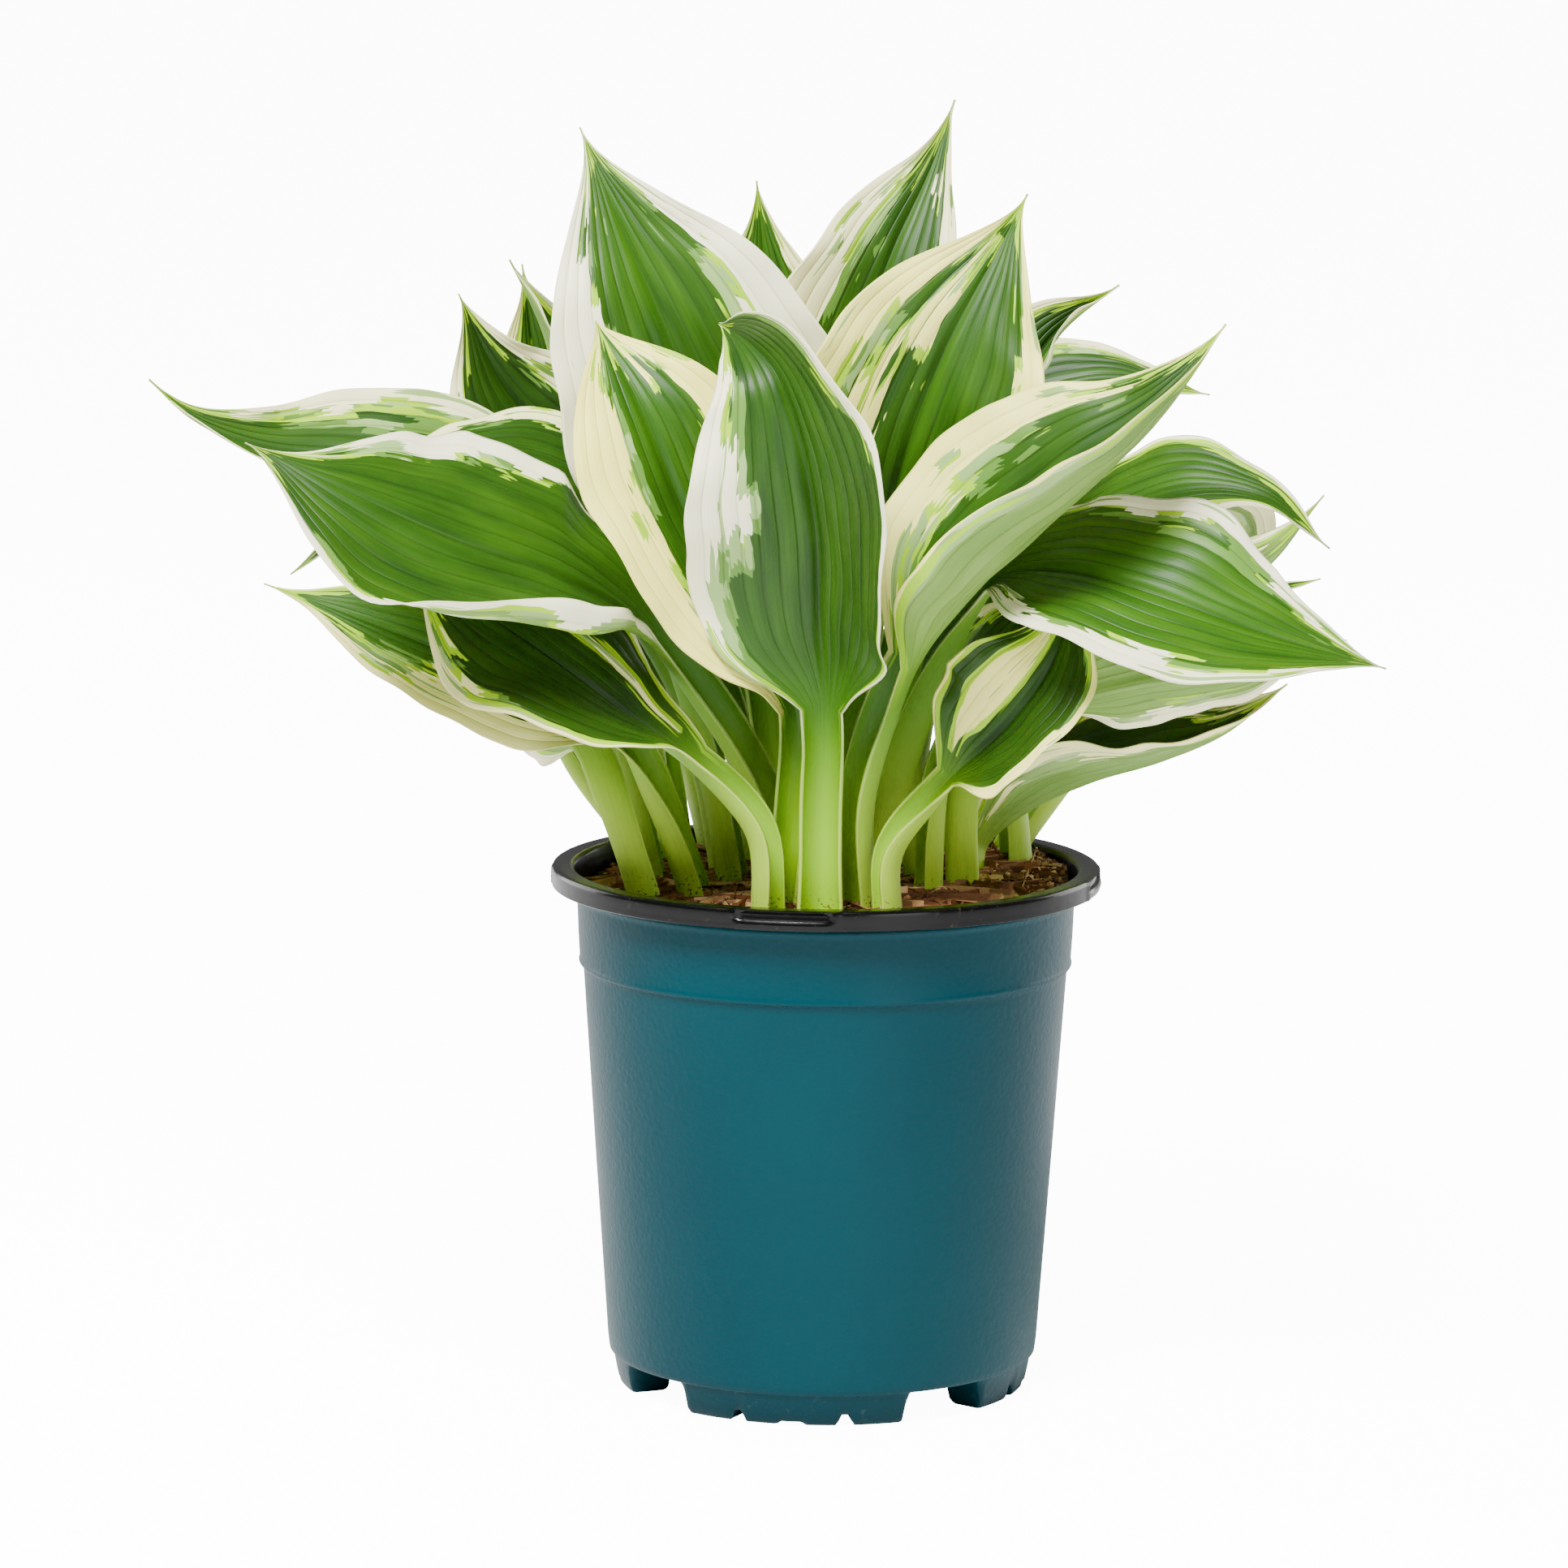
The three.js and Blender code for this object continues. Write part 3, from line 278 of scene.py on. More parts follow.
# %% The leaves' sizes and places
USUAL_LEAF = dict(stem=6, broad=0.36, fall=1.8, curl=(0, 0))
LEAVES = [
    dict(name="front_centre", root=(-2, -56), stalk=[(-2, -58, 181)],
         rib=[(-1, -62, 212), (-3, -72, 237), (-4, -82, 263), (-8, -88, 287), (-15, -86, 308),
              (-23, -76, 317), (-32, -62, 321)], face=(-0.05, -1, 0.25), stalk_face=(0, -1, 0.1),
         width=76, stem=8, broad=0.4, left=(8, 16, 10, 10), right=(45, 75, 50, 60), wave=1.6,
         fall=1.3),
    dict(name="front_mid_left", root=(-13, -40), stalk=[(-10, -47, 179)],
         rib=[(-10, -54, 211), (-24, -64, 235), (-40, -71, 265), (-53, -71, 296), (-67, -57, 321)],
         face=(-0.2, -1, 0.3), stalk_face=(-0.2, -1, 0.1), width=58, broad=0.62,
         left=(55, 60, 35, 30), right=(-18, -24, -8, 0), wave=2, fall=1.4),
    dict(name="front_right", root=(11, -43), stalk=[(10, -52, 184)],
         rib=[(23, -66, 225), (42, -76, 252), (67, -84, 277), (92, -88, 301), (110, -84, 324)],
         face=(-0.25, -0.75, 0.8), stalk_face=(-0.7, -0.6, 0.4), width=80, stem=7.5,
         left=(30, 15, 15, 5), right=(20, 140, 15, 90), wave=1.5),
    dict(name="front_left", root=(-13, -22), stalk=[(-19, -30, 180)],
         rib=[(-51, -45, 230), (-77, -64, 249), (-106, -77, 261), (-138, -82, 276),
              (-165, -78, 288)], face=(0.1, -0.85, 0.7), stalk_face=(0.5, -0.6, 0.6), width=88,
         stem=7, broad=0.54, left=(5, 90, -5, 10), right=(10, 0, -20, -45), wave=1.4, curl=(110, 0)),
    dict(name="low_left", root=(-18, -56), stalk=[(-20, -58, 175)],
         rib=[(-38, -58, 195), (-58, -62, 210), (-79, -64, 226), (-100, -61, 239),
              (-121, -52, 248)], face=(0.05, -0.45, 0.9), stalk_face=(0.6, -0.4, 0.7), width=62,
         broad=0.6, left=(35, 25, -30, -50), right=(10, 10, 5, 0), wave=1.6),
    dict(name="cup_right", root=(18, -57), stalk=[(18, -58, 169)],
         rib=[(35, -60, 191), (51, -68, 208), (62, -70, 224), (67, -66, 237), (66, -58, 249)],
         face=(-0.25, -1, 0.45), stalk_face=(-0.8, -0.3, 0.5), width=50, stem=5,
         left=(10, 15, 10, 10), right=(45, 55, 10, 20), wave=1.6),
    dict(name="low_right_front", root=(14, -22), stalk=[(23, -34, 194)],
         rib=[(46, -54, 247), (66, -72, 253), (93, -88, 248), (122, -92, 238), (157, -84, 227)],
         face=(0.05, -0.75, 0.75), stalk_face=(-0.6, 0.2, 0.8), width=64, stem=7, broad=0.46,
         left=(15, 5, 10, 5), right=(10, 10, 10, 10), wave=1.4),
    dict(name="under_left", root=(-54, -20), stalk=[(-64, -16, 177)],
         rib=[(-73, -10, 193), (-88, -4, 201), (-105, 2, 205), (-122, 6, 206)],
         face=(0.2, 0.8, 0.6), stalk_face=(1, 0.1, 0.4), width=48, stem=7.5, left=(15, 20, 10, 10),
         right=(10, 10, 10, 10), wave=1),
    dict(name="far_low_left", root=(-39, -20), stalk=[(-49, -22, 177)],
         rib=[(-60, -24, 197), (-85, -26, 212), (-108, -28, 221), (-137, -28, 232),
              (-164, -24, 241)], face=(0.1, -0.8, 0.7), stalk_face=(0.8, -0.2, 0.5), width=50,
         stem=6.5, left=(8, 10, 5, 5), right=(8, 10, 5, 5), wave=1.4),
    dict(name="left_mid", root=(-28, -4), stalk=[(-37, -12, 197)],
         rib=[(-55, -21, 246), (-72, -27, 267), (-94, -34, 277), (-117, -40, 276),
              (-140, -44, 267)], face=(0.1, -0.55, 0.85), stalk_face=(0.8, -0.2, 0.5), width=52,
         left=(15, 0, 5, -20), right=(15, 20, 5, -15), wave=1.2),
    dict(name="far_left", root=(-30, 10), stalk=[(-43, 6, 206)],
         rib=[(-72, 4, 247), (-100, 0, 266), (-129, -6, 274), (-164, -12, 279), (-185, -14, 288),
              (-198, -12, 299)], face=(0.1, -0.6, 0.8), stalk_face=(0.8, 0, 0.6), width=54,
         left=(20, 30, 30, 50), right=(10, 10, 20, 40), wave=1.4),
    dict(name="left_small", root=(-52, 6), stalk=[(-63, 10, 193)],
         rib=[(-74, 8, 220), (-96, 4, 242), (-119, 0, 254), (-141, -2, 252), (-158, -2, 241)],
         face=(0.1, -0.3, 1), stalk_face=(0.8, 0, 0.6), width=34, left=(12, 10, 5, 5),
         right=(12, 10, 5, 5), wave=1.2, fall=1.2),
    dict(name="upper_left", root=(-20, 24), stalk=[(-32, 28, 203)],
         rib=[(-59, 34, 251), (-80, 36, 273), (-97, 34, 293), (-110, 28, 321)],
         face=(-0.1, -1, 0.3), stalk_face=(0.5, -0.6, 0.5), width=58, left=(20, 20, 20, 10),
         right=(15, 15, 10, 10), wave=1.4),
    dict(name="back_left_tip", root=(-46, 42), stalk=[(-54, 62, 198)],
         rib=[(-69, 74, 246), (-82, 80, 273), (-89, 80, 297), (-93, 76, 326)],
         face=(0.2, -0.8, 0.3), stalk_face=(0.6, -0.2, 0.5), width=42, left=(30, 20, 20, 20),
         right=(30, 20, 20, 20), wave=1.2),
    dict(name="left_rolled", root=(-14, 42), stalk=[(-29, 48, 200)],
         rib=[(-54, 58, 251), (-75, 62, 277), (-85, 60, 307), (-96, 56, 329)],
         face=(0.8, -0.5, 0.3), stalk_face=(0.6, -0.2, 0.5), width=36, left=(40, 40, 50, 60),
         right=(40, 40, 50, 60), wave=1.2),
    dict(name="top_left", root=(-8, -6), stalk=[(-17, -8, 197)],
         rib=[(-25, -18, 250), (-35, -26, 284), (-47, -30, 315), (-61, -24, 346), (-73, -12, 373)],
         face=(0.05, -1, 0.2), stalk_face=(0, -0.9, 0.3), width=88, stem=7, left=(20, 30, 15, 15),
         right=(10, 20, 15, 20), wave=1.6),
    dict(name="back_top", root=(-2, 28), stalk=[(-13, 26, 204)],
         rib=[(-13, 24, 265), (-15, 24, 294), (-19, 26, 325), (-22, 30, 355)], face=(0.05, -1, 0.2),
         stalk_face=(0, -0.9, 0.3), width=50, left=(20, 20, 20, 25), right=(20, 20, 20, 25),
         wave=1.2),
    dict(name="top_right", root=(8, 10), stalk=[(-2, 8, 206)],
         rib=[(2, 0, 268), (7, -4, 304), (17, -2, 335), (29, 8, 361), (36, 18, 380)],
         face=(0.1, -1, 0.25), stalk_face=(0, -0.9, 0.3), width=60, stem=7, broad=0.3,
         left=(15, 20, 15, 30), right=(15, 30, 20, 40), wave=1.6),
    dict(name="right_centre", root=(16, -4), stalk=[(7, -14, 198)],
         rib=[(15, -32, 253), (22, -44, 285), (33, -46, 314), (46, -40, 338), (56, -30, 356)],
         face=(0.1, -1, 0.25), stalk_face=(-0.2, -0.9, 0.3), width=76, stem=7,
         left=(15, 25, 15, 15), right=(15, 30, 15, 25), wave=1.8),
    dict(name="right_rolled", root=(26, 12), stalk=[(19, 10, 206)],
         rib=[(38, 8, 262), (53, 8, 291), (66, 12, 312), (85, 18, 326)], face=(-0.5, -0.9, 0.5),
         stalk_face=(-0.4, -0.5, 0.5), width=44, left=(40, 40, 50, 70), right=(40, 40, 50, 70),
         wave=1.2),
    dict(name="back_right", root=(24, 34), stalk=[(30, 39, 202)],
         rib=[(45, 42, 261), (60, 46, 287), (85, 46, 295), (114, 46, 291)], face=(-0.05, -0.7, 0.8),
         stalk_face=(-0.4, -0.3, 0.6), width=40, left=(15, 10, 10, 5), right=(15, 10, 10, 5),
         wave=1.2),
    dict(name="right_arch", root=(28, -6), stalk=[(26, -10, 209)],
         rib=[(59, -22, 249), (81, -36, 265), (104, -46, 274), (124, -52, 272), (143, -52, 257)],
         face=(0, -0.6, 0.85), stalk_face=(-0.6, 0, 0.7), width=42, left=(15, 0, 10, 5),
         right=(15, 20, 10, 10), wave=1.4),
    dict(name="right_back", root=(38, 23), stalk=[(39, 31, 196)],
         rib=[(66, 36, 222), (97, 38, 229), (129, 38, 240), (148, 38, 262)], face=(-0.5, 0.5, 0.6),
         stalk_face=(-0.6, 0, 0.7), width=46, left=(20, 20, 20, 40), right=(20, 20, 20, 40),
         wave=1.2),
    dict(name="right_small", root=(58, 15), stalk=[(57, 23, 192)],
         rib=[(73, 21, 212), (94, 14, 225), (120, 8, 233), (145, 6, 241)], face=(-0.2, -0.1, 1),
         stalk_face=(-0.6, 0, 0.7), width=36, left=(12, 10, 5, 5), right=(12, 10, 5, 5), wave=1.2,
         fall=1.4),
    dict(name="right_under", root=(41, -16), stalk=[(42, -28, 186)],
         rib=[(61, -46, 209), (88, -52, 219), (118, -56, 223), (148, -54, 231)],
         face=(-0.1, 0.9, 0.5), stalk_face=(-0.5, 0, 0.8), width=40, left=(10, 10, 10, 10),
         right=(10, 10, 10, 10), wave=1.4),
    dict(name="low_right", root=(43, 2), stalk=[],
         rib=[(45, 2, 162), (58, -2, 174), (77, -8, 184), (98, -14, 191), (116, -18, 199),
              (134, -18, 213)], face=(-0.2, -0.5, 0.9), stalk_face=(-0.8, -0.2, 0.5), width=66,
         broad=0.46, left=(30, 15, 15, 10), right=(50, 95, 30, 30), wave=1.4),
    dict(name="mid_right_small", root=(30, -25), stalk=[(32, -36, 187)],
         rib=[(41, -38, 209), (50, -31, 222), (58, -26, 232), (66, -22, 247)], face=(-0.3, -1, 0.4),
         stalk_face=(-0.6, -0.4, 0.5), width=30, stem=4.5, left=(20, 30, 20, 20),
         right=(10, 10, 10, 10), wave=1.2),
    dict(name="rear_left", root=(-34, 51), stalk=[(-46, 72, 190)],
         rib=[(-59, 92, 228), (-78, 114, 250), (-97, 134, 248), (-112, 149, 224)],
         face=(-0.3, 0.5, 1), stalk_face=(0.6, -0.4, 0.6), width=76, left=(18, 22, 5, 10),
         right=(10, 6, 5, 0), wave=1.6),
    dict(name="rear_centre", root=(4, 58), stalk=[(7, 76, 202)],
         rib=[(11, 92, 246), (15, 116, 272), (18, 143, 268), (18, 164, 240)], face=(0.1, 0.6, 1),
         stalk_face=(0, -0.6, 0.6), width=82, stem=7, left=(18, 14, 5, 0), right=(18, 22, 5, 10),
         wave=1.6),
    dict(name="rear_right", root=(38, 46), stalk=[(60, 64, 190)],
         rib=[(78, 82, 226), (99, 102, 242), (119, 122, 236), (134, 138, 210)], face=(0.3, 0.5, 1),
         stalk_face=(-0.6, -0.4, 0.6), width=76, left=(18, 14, 5, 0), right=(18, 22, 5, 10),
         wave=1.6),
    dict(name="rear_low_left", root=(-52, 28), stalk=[(-74, 46, 176)],
         rib=[(-90, 62, 202), (-106, 80, 212), (-120, 97, 208), (-130, 110, 193)],
         face=(-0.4, 0.4, 1), stalk_face=(0.6, -0.4, 0.6), width=64, left=(14, 16, 5, 5),
         right=(14, 12, 5, 0), wave=1.5),
    dict(name="rear_low_centre", root=(-13, 59), stalk=[(-17, 84, 174)],
         rib=[(-24, 104, 192), (-30, 127, 193), (-36, 152, 177), (-40, 169, 148)],
         face=(-0.1, 0.6, 1), stalk_face=(0, -0.6, 0.6), width=70, left=(14, 16, 5, 5),
         right=(14, 12, 5, 0), wave=1.5),
    dict(name="rear_low_right", root=(53, 31), stalk=[(73, 48, 176)],
         rib=[(90, 66, 198), (108, 86, 205), (121, 105, 199), (129, 119, 184)], face=(0.4, 0.4, 1),
         stalk_face=(-0.6, -0.4, 0.6), width=64, left=(14, 12, 5, 0), right=(14, 16, 5, 5), wave=1.5),
    dict(name="rear_upper", root=(11, 45), stalk=[(12, 54, 230)],
         rib=[(16, 66, 278), (20, 83, 308), (26, 104, 322), (32, 126, 318)], face=(0, 0.3, 1),
         stalk_face=(0, -0.6, 0.6), width=76, stem=7, left=(18, 12, 5, 0), right=(18, 16, 5, 5),
         wave=1.6),
]
print("leaves:", len(LEAVES))

# %% [markdown]
# ## One midrib
#
# The stalk and the midrib are one curve through the points of the table.  A centripetal
# Catmull-Rom curve passes through every point and never loops between two close ones.  It is
# measured along its length, so that a place on it can be asked for in millimetres.  The
# stalk begins sunk in the soil, where it leans a quarter as much as above.

# %% The curve through a leaf's points
STALK_TOP = 148.0
STALK_SUNK = 20.0
SUNK_LEAN = 0.25
CURVE_STEPS = 40


def midrib(leaf):
    """The curve's points, the length at each one, and the length where the blade begins."""
    soil = np.array([*leaf["root"], STALK_TOP])
    free = [np.array(point, float) for point in leaf["stalk"] + leaf["rib"]]
    lean = (free[0] - soil) / np.linalg.norm(free[0] - soil)
    foot = soil - np.array([lean[0], lean[1], 0]) * SUNK_LEAN * STALK_SUNK
    foot[2] -= STALK_SUNK
    points = [foot, soil, *free]
    points = [2 * points[0] - points[1], *points, 2 * points[-1] - points[-2]]
    curve = [points[1]]
    for before, start, end, after in zip(points, points[1:], points[2:], points[3:]):
        first, middle, last = (np.linalg.norm(b - a) ** 0.5
                               for a, b in ((before, start), (start, end), (end, after)))
        leave = (start - before) / first - (end - before) / (first + middle) + (end - start) / middle
        arrive = (end - start) / middle - (after - start) / (middle + last) + (after - end) / last
        for step in range(1, CURVE_STEPS + 1):
            t = step / CURVE_STEPS
            curve.append(start * (2 * t**3 - 3 * t**2 + 1) + end * (3 * t**2 - 2 * t**3)
                         + leave * middle * (t**3 - 2 * t**2 + t) + arrive * middle * (t**3 - t**2))
    curve = np.array(curve)
    lengths = np.concatenate([[0], np.cumsum(np.linalg.norm(np.diff(curve, axis=0), axis=1))])
    neck = lengths[CURVE_STEPS * (2 + len(leaf["stalk"]))]
    return curve, lengths, neck


def point_at(curve, lengths, reach):
    return np.stack([np.interp(reach, lengths, curve[:, axis]) for axis in range(3)], axis=-1)


# %% [markdown]
# ## Places on a leaf
#
# Every place on a leaf has two numbers.  "along" is 0 at the foot of the stalk, 1 at the
# blade's base and 2 at its tip, and "across" runs from -1 at the left edge to 1 at the right.
# Many things change softly on the way, and each pair below says where one change begins and
# ends: the first four along the whole leaf, and the others along the blade alone, from 0 at
# its base to 1 at its tip.  To find which way the midrib heads, a place looks a little back
# and a little ahead, so many millimetres.

# %% Where one thing passes into another
FACE_TURNS = (0.45, 1.1)
SECTION_OPENS = (0.8, 1.22)
RELIEF_BEGINS = (0.95, 1.2)
GROWS_THIN = (0.75, 1.25)
WAVES_BEGIN = (0.02, 0.2)
WAVES_END = (0.8, 1)
CURL_ENDS = (0.35, 0.75)
RIBS_END = (0.75, 1)
FURROW_ENDS = (0.5, 1)
MIDRIB_ENDS = (0.3, 1)
LOOK_AHEAD = 0.6


def blade_share(along):
    """0 from the foot to the blade's base, and 1 at the tip."""
    return np.clip(along - 1, 0, 1)


def unit(vectors):
    return vectors / np.linalg.norm(vectors, axis=-1, keepdims=True)


def carried_along(leaf, along):
    """For each place: the midrib's point, the directions aside and up from it, and how far
    it lies past the blade's base."""
    curve, lengths, neck = midrib(leaf)
    total = lengths[-1]
    reach = np.where(along < 1, neck * along, neck + (total - neck) * blade_share(along))
    heading = unit(point_at(curve, lengths, np.minimum(reach + LOOK_AHEAD, total))
                   - point_at(curve, lengths, np.maximum(reach - LOOK_AHEAD, 0)))
    turned = smooth_step(along, *FACE_TURNS)[:, None]
    upward = unit(np.array(leaf["stalk_face"])) * (1 - turned) + unit(np.array(leaf["face"])) * turned
    upward = unit(upward - np.sum(upward * heading, axis=1, keepdims=True) * heading)
    return point_at(curve, lengths, reach), np.cross(heading, upward), upward, reach - neck


# %% [markdown]
# ## One leaf's section
#
# Seen in section, a stalk is a channel: it starts flat at the midrib and bends up to nearly
# upright at its edges.  A blade is the same section opened out, with its own angles, so one
# formula serves both, and the angles change smoothly where the stalk becomes the blade.
# Each half is two arcs, because some margins turn up much more sharply than the rest.
# The width grows from the stalk, is greatest a third of the way up or further on, and runs
# out to a fine tip.

# %% The shape of a section
STALK_FOLD = 8
STALK_EDGE = 85
STALK_FLARE = 0.25
CURL_FROM = 0.7
STRAIGHT = 1e-4
RISE_POWER = 0.72
TIP_HALF_WIDTH = 0.25


def half_width(leaf, along):
    """Half the leaf's width, laid flat."""
    flared = (1 - smooth_step(along, 0, 0.5)) * (along < 1)
    stem = leaf["stem"] * (1 + STALK_FLARE * flared)
    half, q = leaf["width"] / 2, blade_share(along)
    rise = np.clip(q / leaf["broad"], 0, 1)
    growing = (1 - (1 - rise) ** 2) ** RISE_POWER * smooth_step(rise, -0.3, 0.5)
    fall = np.clip((q - leaf["broad"]) / (1 - leaf["broad"]), 0, 1)
    narrowing = np.maximum(half * (1 - fall**2) ** leaf["fall"], TIP_HALF_WIDTH)
    return np.where(q < leaf["broad"], stem + (half - stem) * growing, narrowing)


def arc(start, bend, length):
    """How far an arc goes sideways and up, and its last angle."""
    bend = np.where(np.abs(bend) < STRAIGHT, STRAIGHT, bend)
    end = start + bend * length
    return (np.sin(end) - np.sin(start)) / bend, (np.cos(start) - np.cos(end)) / bend, end


def section(leaf, along, across, width):
    """How far out and up from the midrib each place lies, and the section's angle there."""
    q, r = blade_share(along), np.abs(across)
    opened = smooth_step(along, *SECTION_OPENS)
    sides = np.where((across > 0)[:, None], leaf["right"], leaf["left"])
    fold = STALK_FOLD + (sides[:, 0] + (sides[:, 2] - sides[:, 0]) * q - STALK_FOLD) * opened
    edge = STALK_EDGE + (sides[:, 1] + (sides[:, 3] - sides[:, 1]) * q - STALK_EDGE) * opened
    fold = np.radians(fold)
    bend = np.radians(edge) - fold
    left_curl, right_curl = leaf["curl"]
    curl = np.where(across > 0, right_curl, left_curl) * opened * (1 - smooth_step(q, *CURL_ENDS))
    aside_in, up_in, turned = arc(fold, bend, np.minimum(r, CURL_FROM))
    aside_out, up_out, angle = arc(turned, bend + np.radians(curl) / (1 - CURL_FROM),
                                   np.maximum(r - CURL_FROM, 0))
    return width * (aside_in + aside_out), width * (up_in + up_out), angle


# %% [markdown]
# ## Ribs, dents and waves
#
# Between the veins the blade puffs up a little, which is what gives a hosta its ribs, and
# over the midrib there is a furrow.  A living leaf is never quite even, so slow waves,
# different for each leaf, dent the blade and ripple its edge.  They are sums of sines, which
# a seed shifts.  All of this is in millimetres, and so is the thickness: a stalk is thick
# under its channel, and a blade is thin but for the rib under its middle.

# %% What stands out of the section, and how thick it is
EDGE_WAVES = 2.5
WAVE_SHIFT = 1.7
WAVY_FROM = 30
RIPPLE = 1.5
RIPPLE_PACE = 14
DENT = 0.75
DENT_PACE = 2
SCALLOP = 0.03
SCALLOP_PACE = 9
PUFF = 0.24
PUFF_MEAN = 0.6
RIBBED_FROM = 12
FURROW = 0.8
FURROW_HALF = 1.3
STALK_WALL = 0.9
STALK_RIB = 3.2
BLADE_THINNER = 0.45
EDGE_THINNER = 0.15
BLADE_RIB = 1.8


def slow_waves(seed, along, aside, pace):
    """A soft, uneven pattern between about -1 and 1."""
    total = 0
    for turn in range(3):
        shift = 2.4 * seed + 1.7 * turn
        total = total + np.sin(pace * (turn + 1) * along + 2.1 * aside * (turn - 0.6) + shift)
    return total / 3


def relief(leaf, along, across, width, window):
    """How far the skin stands out of the plain section."""
    q, r, seed = blade_share(along), np.abs(across), leaf["seed"]
    sign = np.where(across < 0, -1, 1)
    wave = leaf["wave"] * r**2 * np.sin(2 * np.pi * EDGE_WAVES * q + WAVE_SHIFT * (across > 0)) * window
    wavy = np.clip(width / WAVY_FROM, 0, 1) * window
    wave = wave + RIPPLE * wavy * r**3 * slow_waves(seed + 3 * sign, q, r, RIPPLE_PACE)
    hollow = np.sin(np.pi * np.clip(r, 0, 1))
    wave = wave + DENT * wavy * hollow * slow_waves(seed, 5 * q, 2.2 * across, DENT_PACE)
    lanes = r * leaf["veins"]
    on_blade = smooth_step(along, *RELIEF_BEGINS)
    fading = on_blade * (1 - smooth_step(q, *RIBS_END)) * np.clip(width / RIBBED_FROM, 0, 1)
    puff = PUFF * (np.abs(np.sin(np.pi * lanes)) - PUFF_MEAN) * fading * (1 - smooth_step(r, 0.9, 1))
    dip = np.exp(-(r * width / FURROW_HALF) ** 2)
    furrow = -FURROW * dip * on_blade * (1 - smooth_step(q, *FURROW_ENDS))
    return wave + puff + furrow


def thickness(along, across):
    r, base = np.abs(across), smooth_step(along, *GROWS_THIN)
    blade_rib = BLADE_RIB * base * (1 - smooth_step(blade_share(along), *MIDRIB_ENDS))
    rib = STALK_RIB * (1 - base) + blade_rib
    wall = STALK_WALL - BLADE_THINNER * base
    return wall + rib * (1 - r) ** (1 + 4 * base) - EDGE_THINNER * r**3 * base


# %% One leaf's surface
def leaf_surface(leaf, along, across, lower):
    """Points for places on the pattern, where lower is 1 on the underside and 0 on the upper
    side, with the half width at each and how far it lies past the blade's base."""
    middle, aside, upward, past_neck = carried_along(leaf, along)
    q = blade_share(along)
    window = smooth_step(q, *WAVES_BEGIN) * (1 - smooth_step(q, *WAVES_END))
    scallops = SCALLOP * slow_waves(leaf["seed"], q, 0, SCALLOP_PACE) * window
    width = half_width(leaf, along) * (1 + scallops)
    outward, raised, angle = section(leaf, along, across, width)
    sign = np.where(across < 0, -1, 1)
    normal = upward * np.cos(angle)[:, None] - aside * (sign * np.sin(angle))[:, None]
    normal = np.where((across != 0)[:, None], normal, upward)
    points = middle + aside * (sign * outward)[:, None] + upward * raised[:, None]
    points = points + normal * relief(leaf, along, across, width, window)[:, None]
    points = points - normal * (thickness(along, across) * lower)[:, None]
    return points, width, past_neck


# %% [markdown]
# ## One flat pattern piece for all of them
#
# A tailor would cut every sleeve from one paper pattern.  Here the pattern is a grid, made
# once with create_grid, doubled for the underside and sewn round its border with
# bridge_loops.  Its own coordinates say where on a leaf each point belongs.

# %% The pattern
ROWS = 88
STALK_ROWS = 24
COLUMNS = 84


def leaf_pattern():
    shape = bmesh.new()
    bmesh.ops.create_grid(shape, x_segments=COLUMNS, y_segments=ROWS, size=0.5)
    under = bmesh.ops.duplicate(shape, geom=shape.verts[:] + shape.edges[:] + shape.faces[:])["geom"]
    under_points = [item for item in under if isinstance(item, bmesh.types.BMVert)]
    under_faces = [item for item in under if isinstance(item, bmesh.types.BMFace)]
    bmesh.ops.translate(shape, verts=under_points, vec=(0, 0, -1))
    bmesh.ops.reverse_faces(shape, faces=under_faces)
    bmesh.ops.bridge_loops(shape, edges=[edge for edge in shape.edges if edge.is_boundary])
    for face in shape.faces:
        face.smooth = True
    bmesh.ops.recalc_face_normals(shape, faces=shape.faces)
    return mesh_from(shape, "leaf_pattern")


pattern = leaf_pattern()
flat = np.empty(len(pattern.vertices) * 3)
pattern.vertices.foreach_get("co", flat)
flat = flat.reshape(-1, 3)
across = np.clip(flat[:, 0] * 2, -1, 1)
upward_share = np.clip(flat[:, 1] + 0.5, 0, 1)
stalk_share = STALK_ROWS / ROWS
along = np.where(upward_share < stalk_share, upward_share / stalk_share,
                 1 + (upward_share - stalk_share) / (1 - stalk_share))
lower = (flat[:, 2] < -0.5).astype(float)
print("points in the pattern:", len(flat), "faces:", len(pattern.polygons))

# %% [markdown]
# ## The cream edge
#
# No two leaves of this plant are marked alike.  The green stops somewhere between the midrib
# and the edge, and between the green and the cream there is often a band of grey-green,
# where only one of the leaf's layers is green.  For each half of a leaf, the table says how
# far out the cream begins and how far out the full green ends, from 0 at the midrib to 1 at
# the edge.  Three values are for the base, the middle and the tip, and five add a place
# between each two.  "tint" runs from white to butter yellow and "fresh" from dark to bright
# green.  A stripe is a band of cream inside the green.  A leaf that isn't in the table, and
# a value that isn't in a leaf's row, is as in the usual marks.

